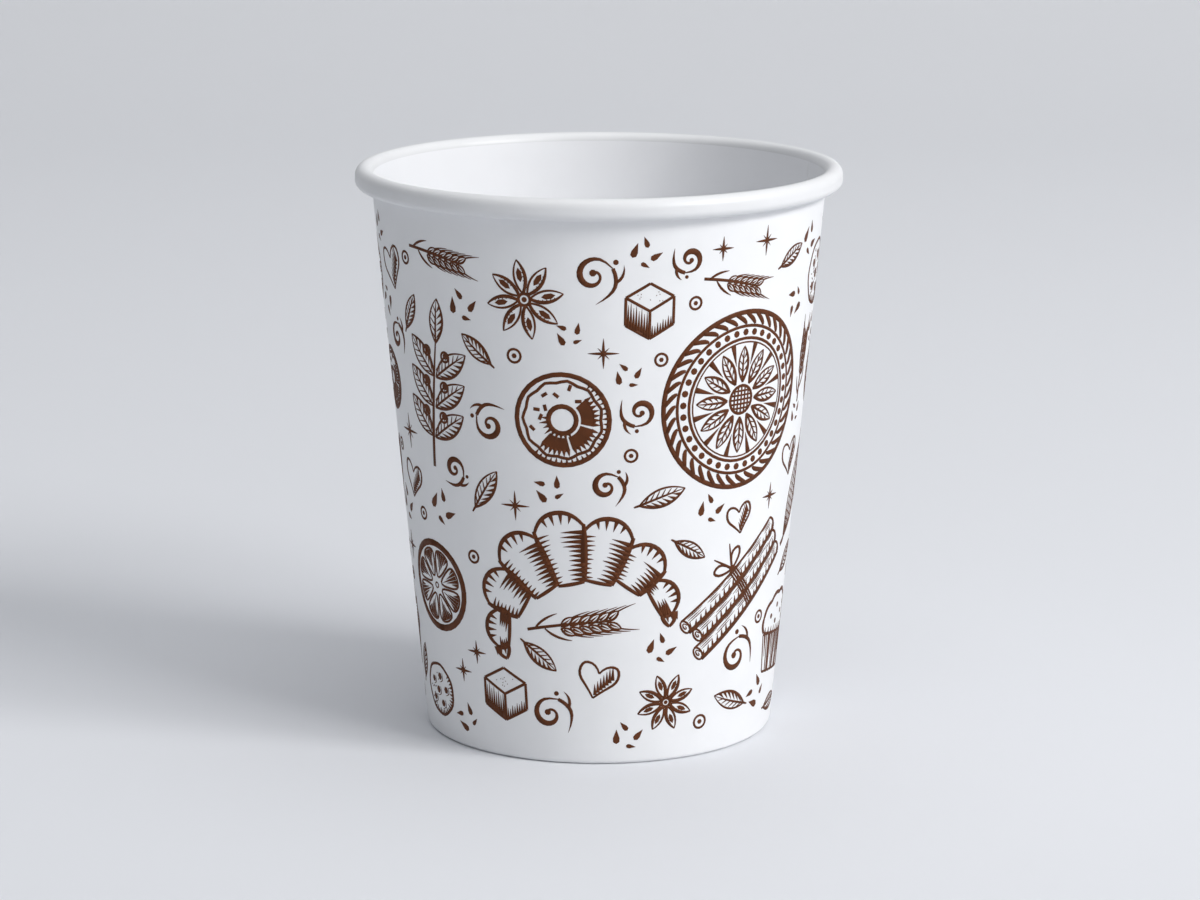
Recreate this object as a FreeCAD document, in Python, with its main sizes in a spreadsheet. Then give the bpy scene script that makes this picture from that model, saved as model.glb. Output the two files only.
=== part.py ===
import FreeCAD, Part
import math
import os

import Sketcher

# Paper coffee cup for hot drinks, in millimetres. One blank of coated board is wound into a cone and
# glued along a lap seam. Its top edge is rolled outwards into a lip, and its bottom edge is folded
# inwards and up, round the skirt of a flanged board disc that is the cup's floor. The outside is
# printed in one brown ink. The origin is the middle of the base, on the table, and +Z points up.

doc = FreeCAD.newDocument("paper_coffee_cup")

# Driving sizes
SIZES = {
    "cup_height": 94.0,
    "rim_diameter": 80.0,
    "base_diameter": 57.6,
    "board_thickness": 0.4,
    "roll_width": 3.0,
    "roll_height": 3.5,
    "roll_gap": 0.05,
    "tuck_radius": 0.9,
    "fold_radius": 0.45,
    "hem_height": 7.0,
    "seal_gap": 0.02,
    "floor_height": 8.5,
    "floor_bend": 0.5,
    "skirt_clearance": 0.2,
    "seam_angle": 98.0,
    "lap_width": 7.0,
    "lap_ramp": 2.5,
    "ink_thickness": 0.1,
    "print_margin_top": 3.0,
    "print_margin_foot": 3.5,
    "print_margin_seam": 1.5,
}

sheet = doc.addObject("Spreadsheet::Sheet", "Sizes")
for row, (name, size) in enumerate(SIZES.items(), start=1):
    sheet.set(f"A{row}", name)
    sheet.set(f"B{row}", str(size))
    sheet.setAlias(f"B{row}", name)
doc.recompute()

# How a sketch numbers its own axes, and the points of a line or an arc
START, END, CENTRE = range(1, 4)
X_AXIS, Y_AXIS = range(-1, -3, -1)
ORIGIN = (X_AXIS, START)


def value(alias):
    """The number that a cell of the sheet holds."""
    return float(sheet.get(alias))


def sized(text):
    """An expression in which each sheet alias reads its cell."""
    for alias in sorted(SIZES, key=len, reverse=True):
        text = text.replace(alias, f"Sizes.{alias}")
    return text


def new_body(name):
    body = doc.addObject("PartDesign::Body", name)
    body.Label = name
    return body


def new_sketch(body, name, plane):
    """A sketch on one of the body's own origin planes."""
    sketch = body.newObject("Sketcher::SketchObject", name)
    feature = next(f for f in body.Origin.OriginFeatures if f.Role == plane)
    sketch.AttachmentSupport = [(feature, "")]
    sketch.MapMode = "FlatFace"
    return sketch


def point(x, y):
    return FreeCAD.Vector(x, y, 0)


def polar(centre, radius, degrees):
    angle = math.radians(degrees)
    return point(centre.x + radius * math.cos(angle), centre.y + radius * math.sin(angle))


def add_line(sketch, start, end, construction=False):
    return sketch.addGeometry(Part.LineSegment(start, end), construction)


def add_arc(sketch, centre, radius, first, last):
    """An arc that runs anticlockwise between two angles in degrees."""
    circle = Part.Circle(centre, FreeCAD.Vector(0, 0, 1), radius)
    return sketch.addGeometry(Part.ArcOfCircle(circle, math.radians(first), math.radians(last)))


def constrain(sketch, kind, *references):
    return sketch.addConstraint(Sketcher.Constraint(kind, *references))


def drive(sketch, name, kind, *references, by):
    """A dimension that an expression of the sheet's cells drives."""
    index = constrain(sketch, kind, *references)
    sketch.renameConstraint(index, name)
    sketch.setExpression(f"Constraints.{name}", sized(by))


def wall_lean():
    """The wall's angle from upright, in degrees: its inner face touches the roll's top arc."""
    roll_radius = value("roll_width") / 2
    across = value("rim_diameter") / 2 - roll_radius - value("base_diameter") / 2
    up = value("cup_height") - roll_radius
    turned_in = math.asin((roll_radius - value("board_thickness")) / math.hypot(across, up))
    return math.degrees(math.atan2(across, up) - turned_in)


def side_wall_section(body):
    """Half of the blank's section: folded hem, leaning wall and the roll of the lip."""
    board = value("board_thickness")
    lean = wall_lean()
    sine = math.sin(math.radians(lean))
    cosine = math.cos(math.radians(lean))
    base = value("base_diameter") / 2
    fold = value("fold_radius")
    folded_width = 3 * board + 2 * value("seal_gap")
    roll = value("roll_width") / 2
    under = (value("roll_width") - board - value("roll_gap")) / 2
    tuck = value("tuck_radius")

    outer_fold = point(base - fold * (1 - sine) / cosine, fold)
    inner_fold = point(base - (folded_width - fold - fold * sine) / cosine, fold)
    top = point(value("rim_diameter") / 2 - roll, value("cup_height") - roll)
    bottom = point(value("rim_diameter") / 2 - under, value("cup_height") - value("roll_height") + under)
    tucked = point(bottom.x - under + tuck, bottom.y)
    inwards = 180 - lean
    outwards = -lean

    hem_back_foot = polar(inner_fold, fold, inwards)
    hem_front_foot = polar(inner_fold, fold - board, inwards)
    rise = (value("hem_height") - hem_back_foot.y) / cosine
    hem_back_top = point(hem_back_foot.x + rise * sine, hem_back_foot.y + rise * cosine)
    hem_front_top = point(hem_back_top.x + board * cosine, hem_back_top.y - board * sine)

    sketch = new_sketch(body, "side_wall_section", "XZ_Plane")
    hem_back = add_line(sketch, hem_back_top, hem_back_foot)
    fold_in = add_arc(sketch, inner_fold, fold, inwards, 270)
    foot = add_line(sketch, polar(inner_fold, fold, 270), polar(outer_fold, fold, 270))
    fold_out = add_arc(sketch, outer_fold, fold, 270, 360 + outwards)
    wall_out = add_line(sketch, polar(outer_fold, fold, outwards), polar(top, roll - board, inwards))
    top_in = add_arc(sketch, top, roll - board, 0, inwards)
    run_in = add_line(sketch, polar(top, roll - board, 0), polar(bottom, under - board, 0))
    under_in = add_arc(sketch, bottom, under - board, 180, 360)
    tuck_in = add_arc(sketch, tucked, tuck - board, 90, 180)
    roll_edge = add_line(sketch, polar(tucked, tuck - board, 90), polar(tucked, tuck, 90))
    tuck_out = add_arc(sketch, tucked, tuck, 90, 180)
    under_out = add_arc(sketch, bottom, under, 180, 360)
    run_out = add_line(sketch, polar(bottom, under, 0), polar(top, roll, 0))
    top_out = add_arc(sketch, top, roll, 0, inwards)
    wall_in = add_line(sketch, polar(top, roll, inwards), polar(outer_fold, fold - board, outwards))
    crease_out = add_arc(sketch, outer_fold, fold - board, 270, 360 + outwards)
    channel = add_line(sketch, polar(outer_fold, fold - board, 270), polar(inner_fold, fold - board, 270))
    crease_in = add_arc(sketch, inner_fold, fold - board, inwards, 270)
    hem_front = add_line(sketch, hem_front_foot, hem_front_top)
    hem_edge = add_line(sketch, hem_front_top, hem_back_top)
    heel = sketch.addGeometry(Part.Point(point(base, 0)), True)

    smooth_joins = [
        (hem_back, END, fold_in, START), (fold_in, END, foot, START),
        (foot, END, fold_out, START), (fold_out, END, wall_out, START),
        (wall_out, END, top_in, END), (top_in, START, run_in, START),
        (run_in, END, under_in, END), (under_out, END, run_out, START),
        (run_out, END, top_out, START), (top_out, END, wall_in, START),
        (wall_in, END, crease_out, END), (crease_out, START, channel, START),
        (channel, END, crease_in, END), (crease_in, START, hem_front, START),
    ]
    for join in smooth_joins:
        constrain(sketch, "Tangent", *join)
    corners = [
        (under_in, START, tuck_in, END), (tuck_in, START, roll_edge, START),
        (roll_edge, END, tuck_out, START), (tuck_out, END, under_out, START),
        (hem_front, END, hem_edge, START), (hem_edge, END, hem_back, START),
    ]
    for corner in corners:
        constrain(sketch, "Coincident", *corner)
    for inner, outer in [(crease_in, fold_in), (crease_out, fold_out), (top_in, top_out),
                         (under_in, under_out), (tuck_in, tuck_out)]:
        constrain(sketch, "Coincident", inner, CENTRE, outer, CENTRE)
    for start in [(under_out, START), (under_in, START), (tuck_out, CENTRE)]:
        constrain(sketch, "Horizontal", *start, under_out, CENTRE)
    constrain(sketch, "Vertical", tuck_out, START, tuck_out, CENTRE)
    constrain(sketch, "Vertical", roll_edge)
    constrain(sketch, "Vertical", run_out)
    constrain(sketch, "Horizontal", foot)
    constrain(sketch, "PointOnObject", foot, START, X_AXIS)
    constrain(sketch, "Parallel", hem_back, wall_out)
    constrain(sketch, "Parallel", hem_front, wall_out)
    constrain(sketch, "Perpendicular", hem_edge, wall_out)
    constrain(sketch, "Equal", fold_in, fold_out)
    constrain(sketch, "Equal", crease_in, crease_out)
    constrain(sketch, "PointOnObject", heel, START, X_AXIS)
    constrain(sketch, "PointOnObject", heel, START, wall_out)

    drive(sketch, "base_radius", "DistanceX", *ORIGIN, heel, START, base, by="base_diameter / 2")
    drive(sketch, "fold_outside", "Radius", fold_in, fold, by="fold_radius")
    drive(sketch, "fold_inside", "Radius", crease_in, fold - board, by="fold_radius - board_thickness")
    drive(sketch, "folded_width", "Distance", hem_back, END, wall_out, folded_width,
          by="3 * board_thickness + 2 * seal_gap")
    drive(sketch, "hem_top", "DistanceY", *ORIGIN, hem_back, START, hem_back_top.y, by="hem_height")
    drive(sketch, "roll_outside", "Radius", top_out, roll, by="roll_width / 2")
    drive(sketch, "roll_inside", "Radius", top_in, roll - board, by="roll_width / 2 - board_thickness")
    drive(sketch, "under_outside", "Radius", under_out, under,
          by="(roll_width - board_thickness - roll_gap) / 2")
    drive(sketch, "under_inside", "Radius", under_in, under - board,
          by="(roll_width - board_thickness - roll_gap) / 2 - board_thickness")
    drive(sketch, "tuck_outside", "Radius", tuck_out, tuck, by="tuck_radius")
    drive(sketch, "roll_reach", "DistanceX", *ORIGIN, top_out, CENTRE, top.x,
          by="(rim_diameter - roll_width) / 2")
    drive(sketch, "roll_rise", "DistanceY", *ORIGIN, top_out, CENTRE, top.y,
          by="cup_height - roll_width / 2")
    drive(sketch, "under_rise", "DistanceY", *ORIGIN, under_out, CENTRE, bottom.y,
          by="cup_height - roll_height + (roll_width - board_thickness - roll_gap) / 2")

    lean_mark = constrain(sketch, "Angle", wall_out, START, Y_AXIS, START, math.radians(lean))
    sketch.setDriving(lean_mark, False)
    sketch.renameConstraint(lean_mark, "wall_lean")
    return sketch


def revolve(body, sketch, name):
    """The section turned once round the cup's axis."""
    revolution = body.newObject("PartDesign::Revolution", name)
    revolution.Profile = sketch
    revolution.ReferenceAxis = (sketch, ["V_Axis"])
    revolution.Angle = 360
    return revolution


def level_sketch(body, name, level):
    """A flat sketch at a height that an expression gives."""
    sketch = new_sketch(body, name, "XY_Plane")
    sketch.setExpression("AttachmentOffset.Base.z", sized(level))
    return sketch


WALL_RADIUS = "base_diameter / 2 + ({level}) * tan(side_wall_section.Constraints.wall_lean)"
ROLL_FOOT = "cup_height - roll_height + (roll_width - board_thickness - roll_gap) / 2"
RAW_EDGE_TURN = "seam_angle - 90"
LAP_TURN = "seam_angle - 90 + lap_width / ({radius}) * 180 / pi"
RAMP_TURN = "seam_angle - 90 + (lap_width + lap_ramp) / ({radius}) * 180 / pi"


def spoke(sketch, name, turn_number, turn):
    """A construction line from the axis, at a turn that an expression gives."""
    line = add_line(sketch, point(0, 0), polar(point(0, 0), 10, turn_number), construction=True)
    constrain(sketch, "Coincident", *ORIGIN, line, START)
    drive(sketch, name, "Angle", X_AXIS, START, line, START, math.radians(turn_number), by=turn)
    return line


def seam_turns(level_number):
    """The turns of the raw edge, the lap's end and the ramp's end, and the wall's outer radius."""
    radius = value("base_diameter") / 2 + level_number * math.tan(math.radians(wall_lean()))
    raw = value("seam_angle") - 90
    lap = raw + math.degrees(value("lap_width") / radius)
    ramp = raw + math.degrees((value("lap_width") + value("lap_ramp")) / radius)
    return raw, lap, ramp, radius


def lap_section(body, name, level, level_number):
    """The outer flap of the seam: a raw edge, one board's thickness of lap, and a ramp back down."""
    board = value("board_thickness")
    raw, lap, ramp, radius = seam_turns(level_number)
    wall = WALL_RADIUS.format(level=level)
    axis = point(0, 0)
    sketch = level_sketch(body, name, level)
    flap = add_arc(sketch, axis, radius + board, raw, lap)
    slope = add_line(sketch, polar(axis, radius + board, lap), polar(axis, radius, ramp))
    sunk_end = add_line(sketch, polar(axis, radius, ramp), polar(axis, radius - board / 2, ramp))
    sunk = add_arc(sketch, axis, radius - board / 2, raw, ramp)
    raw_edge = add_line(sketch, polar(axis, radius - board / 2, raw), polar(axis, radius + board, raw))
    for corner in [(flap, END, slope, START), (slope, END, sunk_end, START), (sunk_end, END, sunk, END),
                   (sunk, START, raw_edge, START), (raw_edge, END, flap, START)]:
        constrain(sketch, "Coincident", *corner)
    constrain(sketch, "Coincident", flap, CENTRE, *ORIGIN)
    constrain(sketch, "Coincident", sunk, CENTRE, *ORIGIN)
    lap_spoke = spoke(sketch, "lap_turn", lap, LAP_TURN.format(radius=wall))
    ramp_spoke = spoke(sketch, "ramp_turn", ramp, RAMP_TURN.format(radius=wall))
    raw_spoke = spoke(sketch, "raw_turn", raw, RAW_EDGE_TURN)
    constrain(sketch, "Coincident", lap_spoke, END, slope, START)
    constrain(sketch, "Coincident", ramp_spoke, END, slope, END)
    constrain(sketch, "PointOnObject", sunk_end, END, ramp_spoke)
    constrain(sketch, "Coincident", raw_spoke, END, raw_edge, END)
    constrain(sketch, "PointOnObject", raw_edge, START, raw_spoke)
    drive(sketch, "flap_outside", "Radius", flap, radius + board, by=f"{wall} + board_thickness")
    drive(sketch, "sunk_radius", "Radius", sunk, radius - board / 2, by=f"{wall} - board_thickness / 2")
    drive(sketch, "ramp_foot", "Distance", ramp_spoke, radius, by=wall)
    return sketch


def notch_section(body, name, level, level_number):
    """The wedge that stays open inside, between the covered raw edge and the flap's ramp."""
    board = value("board_thickness")
    raw, lap, ramp, radius = seam_turns(level_number)
    wall = WALL_RADIUS.format(level=level)
    axis = point(0, 0)
    sketch = level_sketch(body, name, level)
    corners = [polar(axis, radius - 2 * board, lap), polar(axis, radius, lap),
               polar(axis, radius - board, ramp), polar(axis, radius - 2 * board, ramp)]
    sides = [add_line(sketch, corners[k], corners[(k + 1) % 4]) for k in range(4)]
    for k in range(4):
        constrain(sketch, "Coincident", sides[k], END, sides[(k + 1) % 4], START)
    lap_spoke = spoke(sketch, "lap_turn", lap, LAP_TURN.format(radius=wall))
    ramp_spoke = spoke(sketch, "ramp_turn", ramp, RAMP_TURN.format(radius=wall))
    constrain(sketch, "Coincident", lap_spoke, END, sides[0], END)
    constrain(sketch, "PointOnObject", sides[0], START, lap_spoke)
    constrain(sketch, "Coincident", ramp_spoke, END, sides[2], START)
    constrain(sketch, "PointOnObject", sides[2], END, ramp_spoke)
    drive(sketch, "edge_top", "Distance", lap_spoke, radius, by=wall)
    drive(sketch, "slope_foot", "Distance", ramp_spoke, radius - board, by=f"{wall} - board_thickness")
    drive(sketch, "edge_foot", "Distance", *ORIGIN, sides[0], START, radius - 2 * board,
          by=f"{wall} - 2 * board_thickness")
    drive(sketch, "open_foot", "Distance", *ORIGIN, sides[2], END, radius - 2 * board,
          by=f"{wall} - 2 * board_thickness")
    return sketch


def loft(body, kind, name, sections):
    feature = body.newObject(f"PartDesign::{kind}Loft", name)
    feature.Profile = sections[0]
    feature.Sections = sections[1:]
    feature.Ruled = True
    return feature


def make_side_wall():
    """The wound blank: rolled lip, leaning wall, folded hem and lap seam, in one piece."""
    body = new_body("side_wall")
    body.Tip = revolve(body, side_wall_section(body), "wound_blank")
    doc.recompute()

    roll_foot = value("cup_height") - value("roll_height")
    roll_foot += (value("roll_width") - value("board_thickness") - value("roll_gap")) / 2
    flap = [lap_section(body, "lap_foot", "fold_radius", value("fold_radius")),
            lap_section(body, "lap_head", ROLL_FOOT, roll_foot)]
    loft(body, "Additive", "outer_flap", flap)
    doc.recompute()

    roll_start = value("cup_height") - value("roll_width") / 2
    notch = [notch_section(body, "notch_foot", "floor_height", value("floor_height")),
             notch_section(body, "notch_head", "cup_height - roll_width / 2", roll_start)]
    loft(body, "Subtractive", "inner_edge", notch)
    doc.recompute()
    return body


def make_floor_disc():
    """The cup's floor: a flat disc whose edge is bent down into a skirt beside the wall."""
    board = value("board_thickness")
    lean = wall_lean()
    sine = math.sin(math.radians(lean))
    cosine = math.cos(math.radians(lean))
    base = value("base_diameter") / 2
    bend = value("floor_bend")
    top = value("floor_height")
    inset = board + value("seal_gap")
    skirt_foot = value("board_thickness") + value("skirt_clearance")

    knee = point(0, top - board - bend)
    knee.x = base + (knee.y * sine - inset - board - bend) / cosine
    outwards = -lean
    outer_knee = polar(knee, bend + board, outwards)
    inner_knee = polar(knee, bend, outwards)
    drop = (outer_knee.y - skirt_foot) / cosine
    outer_foot = point(outer_knee.x - drop * sine, outer_knee.y - drop * cosine)
    inner_foot = point(outer_foot.x - board * cosine, outer_foot.y + board * sine)
    wall_top = point(base + top * math.tan(math.radians(lean)), top)

    body = new_body("floor_disc")
    sketch = new_sketch(body, "floor_disc_section", "XZ_Plane")
    face = add_line(sketch, point(0, top), polar(knee, bend + board, 90))
    knee_out = add_arc(sketch, knee, bend + board, outwards, 90)
    skirt_out = add_line(sketch, outer_knee, outer_foot)
    skirt_edge = add_line(sketch, outer_foot, inner_foot)
    skirt_in = add_line(sketch, inner_foot, inner_knee)
    knee_in = add_arc(sketch, knee, bend, outwards, 90)
    underside = add_line(sketch, polar(knee, bend, 90), point(0, top - board))
    middle = add_line(sketch, point(0, top - board), point(0, top))
    wall = add_line(sketch, point(base, 0), wall_top, construction=True)

    for join in [(face, END, knee_out, END), (knee_out, START, skirt_out, START),
                 (skirt_in, END, knee_in, START), (knee_in, END, underside, START)]:
        constrain(sketch, "Tangent", *join)
    for corner in [(skirt_out, END, skirt_edge, START), (skirt_edge, END, skirt_in, START),
                   (underside, END, middle, START), (middle, END, face, START),
                   (knee_in, CENTRE, knee_out, CENTRE)]:
        constrain(sketch, "Coincident", *corner)
    constrain(sketch, "PointOnObject", middle, START, Y_AXIS)
    constrain(sketch, "PointOnObject", middle, END, Y_AXIS)
    constrain(sketch, "Horizontal", face)
    constrain(sketch, "Horizontal", underside)
    constrain(sketch, "Parallel", skirt_in, skirt_out)
    constrain(sketch, "Perpendicular", skirt_edge, skirt_out)
    constrain(sketch, "Parallel", skirt_out, wall)
    constrain(sketch, "PointOnObject", wall, START, X_AXIS)
    constrain(sketch, "Horizontal", wall, END, middle, END)
    drive(sketch, "base_radius", "DistanceX", *ORIGIN, wall, START, base, by="base_diameter / 2")
    drive(sketch, "wall_lean", "Angle", wall, START, Y_AXIS, START, math.radians(lean),
          by="side_wall_section.Constraints.wall_lean")
    drive(sketch, "floor_top", "DistanceY", *ORIGIN, middle, END, top, by="floor_height")
    drive(sketch, "bend_inside", "Radius", knee_in, bend, by="floor_bend")
    drive(sketch, "bend_outside", "Radius", knee_out, bend + board, by="floor_bend + board_thickness")
    drive(sketch, "beside_wall", "Distance", skirt_out, END, wall, inset, by="board_thickness + seal_gap")
    drive(sketch, "skirt_foot", "DistanceY", *ORIGIN, skirt_out, END, skirt_foot,
          by="board_thickness + skirt_clearance")
    body.Tip = revolve(body, sketch, "pressed_disc")
    doc.recompute()
    return body


# The print. Each shape is a closed outline on the flat artwork, as a list of its corners.

def spot(x, y, radius, degrees):
    """A point on the flat artwork, by its distance and turn from another."""
    angle = math.radians(degrees)
    return x + radius * math.cos(angle), y + radius * math.sin(angle)


def between(start, end, share, aside=0.0):
    """A point part of the way along a line, moved to its left."""
    run, rise = end[0] - start[0], end[1] - start[1]
    length = math.hypot(run, rise)
    return start[0] + share * run - aside * rise / length, start[1] + share * rise + aside * run / length


def arc(x, y, radius, first, last, steps):
    return [spot(x, y, radius, first + (last - first) * k / steps) for k in range(steps + 1)]


def disc(x, y, radius, corners=9):
    return [spot(x, y, radius, 360 * k / corners) for k in range(corners)]


def leaf(root, tip, width):
    """A pointed leaf, widest a little below its middle."""
    left = [between(root, tip, share, width * part) for share, part in ((0.25, 0.42), (0.6, 0.42))]
    right = [between(root, tip, share, -width * part) for share, part in ((0.6, 0.42), (0.25, 0.42))]
    return [root, *left, tip, *right]


def bar(start, end, width):
    corners = ((0, 1), (1, 1), (1, -1), (0, -1))
    return [between(start, end, share, side * width / 2) for share, side in corners]


def sector(x, y, near, far, first, last, steps=1):
    """A piece of a ring between two radii and two turns."""
    return arc(x, y, far, first, last, steps) + arc(x, y, near, last, first, steps)


def ring(x, y, near, far, count, gap, steps=1):
    """A ring of equal pieces with a gap in degrees between them."""
    step = 360 / count
    return [sector(x, y, near, far, k * step, (k + 1) * step - gap, steps) for k in range(count)]


def petals(x, y, near, far, width, count):
    """Leaf shapes that point away from a middle."""
    turns = [360 * k / count for k in range(count)]
    return [leaf(spot(x, y, near, a), spot(x, y, far, a), width) for a in turns]


def rosette(size):
    r = size / 2
    shapes = [disc(0, 0, 0.15 * r)]
    shapes += petals(0, 0, 0.22 * r, 0.56 * r, 0.2 * r, 12)
    shapes += ring(0, 0, 0.64 * r, 0.70 * r, 6, 4, steps=4)
    return shapes + ring(0, 0, 0.84 * r, r, 24, 5)


def croissant(size):
    """Seven rolled bands that follow an arc, the middle one the widest."""
    low = -0.32 * size
    bands = {0: (0.29, 0.61), 1: (0.30, 0.585), 2: (0.335, 0.535), 3: (0.38, 0.475)}
    shapes = []
    for k in range(-3, 4):
        near, far = (size * radius for radius in bands[abs(k)])
        turn = 90 - 25 * k
        crown = [spot(0, low, 0.96 * far, turn - 11), spot(0, low, far, turn - 4),
                 spot(0, low, far, turn + 4), spot(0, low, 0.96 * far, turn + 11)]
        shapes.append(crown + arc(0, low, near, turn + 11, turn - 11, 2))
    return shapes


def twig(size):
    """A stem with pairs of leaves and berries between them."""
    half = size / 2
    shapes = [leaf((-half, 0), (0.9 * half, 0), 0.04 * size)]
    shapes.append(leaf((0.95 * half, 0), (1.5 * half, 0), 0.12 * size))
    for x in (-0.55, -0.1, 0.35):
        for side in (1, -1):
            root = (x * half, side * 0.03 * size)
            shapes.append(leaf(root, spot(*root, 0.3 * size, side * 48), 0.12 * size))
            shapes.append(disc((x + 0.27) * half, side * 0.06 * size, 0.035 * size, corners=6))
    return shapes


def bundle(size):
    """Three rolled sticks side by side, tied in the middle."""
    shapes = []
    for k, shift in ((-1, -0.04), (0, 0.03), (1, -0.01)):
        for first, last in ((-0.5, -0.06), (0.06, 0.5)):
            start = ((first + shift if first < 0 else first) * size, 0.115 * size * k)
            end = ((last + shift if last > 0.06 else last) * size, 0.115 * size * k)
            shapes.append(bar(start, end, 0.09 * size))
    return shapes + [bar((0, -0.19 * size), (0, 0.19 * size), 0.055 * size)]


def anise(size):
    r = size / 2
    return [disc(0, 0, 0.14 * r)] + petals(0, 0, 0.2 * r, r, 0.3 * r, 8)


def doughnut(size):
    r = size / 2
    return ring(0, 0, 0.36 * r, r, 6, 6, steps=3)


def muffin(size):
    top = [(-0.46, 0.05), (-0.46, 0.22), (-0.34, 0.38), (-0.15, 0.46), (0.15, 0.46), (0.34, 0.38),
           (0.46, 0.22), (0.46, 0.05)]
    shapes = [[(x * size, y * size) for x, y in top]]
    for k in range(-2, 3):
        shapes.append(bar((0.16 * size * k, 0), (0.125 * size * k, -0.42 * size), 0.09 * size))
    return shapes


def citrus(size):
    r = size / 2
    wedges = [sector(0, 0, 0.16 * r, 0.74 * r, 45 * k + 4, 45 * k + 38) for k in range(8)]
    return wedges + ring(0, 0, 0.88 * r, r, 12, 3)


def pod(size):
    """A ribbed seed pod: a long leaf between two curved ribs."""
    half = size / 2
    shapes = [leaf((-half, 0), (half, 0), 0.1 * size)]
    for side in (1, -1):
        rib = [(-0.9, 0.06), (-0.4, 0.17), (0.4, 0.17), (0.9, 0.06), (0.4, 0.09), (-0.4, 0.09)]
        shapes.append([(x * half, side * y * size) for x, y in rib])
    return shapes


def cube(size):
    """A sugar cube seen from a corner: three faces with light between them."""
    return [[spot(0, 0, 0.06 * size, turn), spot(0, 0, 0.47 * size, turn - 52),
             spot(0, 0, 0.5 * size, turn), spot(0, 0, 0.47 * size, turn + 52)] for turn in (90, 210, 330)]


def cookie(size):
    r = size / 2
    chips = [disc(*spot(0, 0, 0.42 * r, 72 * k), 0.13 * r, corners=6) for k in range(5)]
    return chips + ring(0, 0, 0.82 * r, r, 8, 5)


def heart(size):
    right = [(0, 0.25), (0.2, 0.42), (0.42, 0.35), (0.48, 0.1), (0.3, -0.2)]
    left = [(-x, y) for x, y in reversed(right[1:])]
    return [[(x * size, y * size) for x, y in [*right, (0, -0.5), *left]]]


def sprig(size):
    return [leaf((-size / 2, 0), (size / 2, 0), 0.34 * size)]


def sparkle(size):
    return [[spot(0, 0, size * (0.5 if k % 2 == 0 else 0.15), 45 * k) for k in range(8)]]


def dot(size):
    return [disc(0, 0, size / 2)]


# One panel of the artwork: motif, place across the panel from -1 to 1, place up the wall from 0 to 1,
# turn in degrees and size in millimetres as drawn. The panel comes twice round the cup, and its motifs
# keep their share of the wall's printed area.
ARTWORK_WIDTH = 98.0
ARTWORK_HEIGHT = 84.0
PANELS = 2
INK_TOLERANCE = 1e-4
ARTWORK = [
    (rosette, 0.36, 0.67, 0, 29),
    (croissant, -0.22, 0.34, 12, 36),
    (twig, -0.73, 0.66, 82, 23),
    (bundle, 0.41, 0.29, 38, 24),
    (anise, -0.36, 0.88, 10, 13),
    (doughnut, -0.25, 0.65, 0, 15),
    (muffin, 0.76, 0.16, -6, 15),
    (citrus, -0.82, 0.28, 0, 15),
    (pod, 0.80, 0.45, 62, 19),
    (cookie, 0.81, 0.88, 0, 11),
    (cube, -0.50, 0.09, 0, 9),
    (anise, 0.12, 0.08, 20, 10),
    (doughnut, 0.93, 0.67, 0, 10),
    (cookie, -0.88, 0.06, 0, 9),
    (cube, 0.02, 0.86, 0, 9),
    (heart, -0.94, 0.90, 12, 7),
    (heart, -0.93, 0.48, -10, 6),
    (heart, 0.70, 0.52, 8, 6),
    (heart, -0.14, 0.13, -14, 6),
    (sprig, -0.53, 0.50, 55, 8),
    (sprig, 0.09, 0.50, 18, 8),
    (sprig, 0.42, 0.06, 160, 8),
    (sprig, -0.55, 0.77, 140, 7),
    (sprig, 0.97, 0.10, 70, 7),
    (sprig, 0.52, 0.93, 25, 7),
    (sparkle, -0.12, 0.78, 0, 5),
    (sparkle, 0.54, 0.44, 0, 5),
    (sparkle, -0.56, 0.22, 0, 5),
    (sparkle, 0.98, 0.33, 0, 5),
    (sparkle, -0.70, 0.12, 0, 4),
    (sparkle, 0.25, 0.95, 0, 4),
    (dot, -0.03, 0.58, 0, 2),
    (dot, 0.06, 0.72, 0, 2),
    (dot, 0.57, 0.18, 0, 2),
    (dot, -0.60, 0.36, 0, 2),
    (dot, 0.96, 0.54, 0, 2),
    (dot, -0.75, 0.93, 0, 2),
]


def on_wall(across, up, turn, scale, x, y):
    """The turn round the wall and the way up it of a point of a motif, laid on without stretching."""
    lean = math.radians(wall_lean())
    apex = value("base_diameter") / 2 / math.sin(lean)
    length, foot = printed_band()
    free, first = printed_arc()
    half_panel = free / PANELS / 2
    middle = first + half_panel * (1 + across)
    cosine, sine = math.cos(math.radians(turn)), math.sin(math.radians(turn))
    right = scale * (x * cosine - y * sine)
    reach = apex + foot + up * length + scale * (x * sine + y * cosine)
    return middle + math.atan2(right, reach) / math.sin(lean), math.hypot(right, reach) - apex


def printed_band():
    """The printed length up the slope of the wall, and where it starts."""
    cosine = math.cos(math.radians(wall_lean()))
    head = (value("cup_height") - value("roll_height")) / cosine - value("print_margin_top")
    return head - value("print_margin_foot"), value("print_margin_foot")


def printed_arc():
    """The printed turn round the cup in radians, from past the seam's ramp back to its raw edge."""
    lean = math.radians(wall_lean())
    narrow = value("base_diameter") / 2 + value("fold_radius") * math.tan(lean)
    seam = value("lap_width") + value("lap_ramp") + 2 * value("print_margin_seam")
    past = math.radians(value("seam_angle")) + (seam - value("print_margin_seam")) / narrow
    return 2 * math.pi - seam / narrow, past - 2 * math.pi


def ink_solid(corners, wall, thickness):
    """One inked shape: its outline laid on the wall's cone and thickened outwards."""
    points = [FreeCAD.Base.Vector2d(*corner) for corner in corners]
    ends = zip(points, points[1:] + points[:1])
    edges = [Part.Geom2d.Line2dSegment(start, end).toShape(wall) for start, end in ends]
    face = Part.Face(wall, Part.Wire(edges))
    return face.makeOffsetShape(thickness, INK_TOLERANCE, fill=True)


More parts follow.
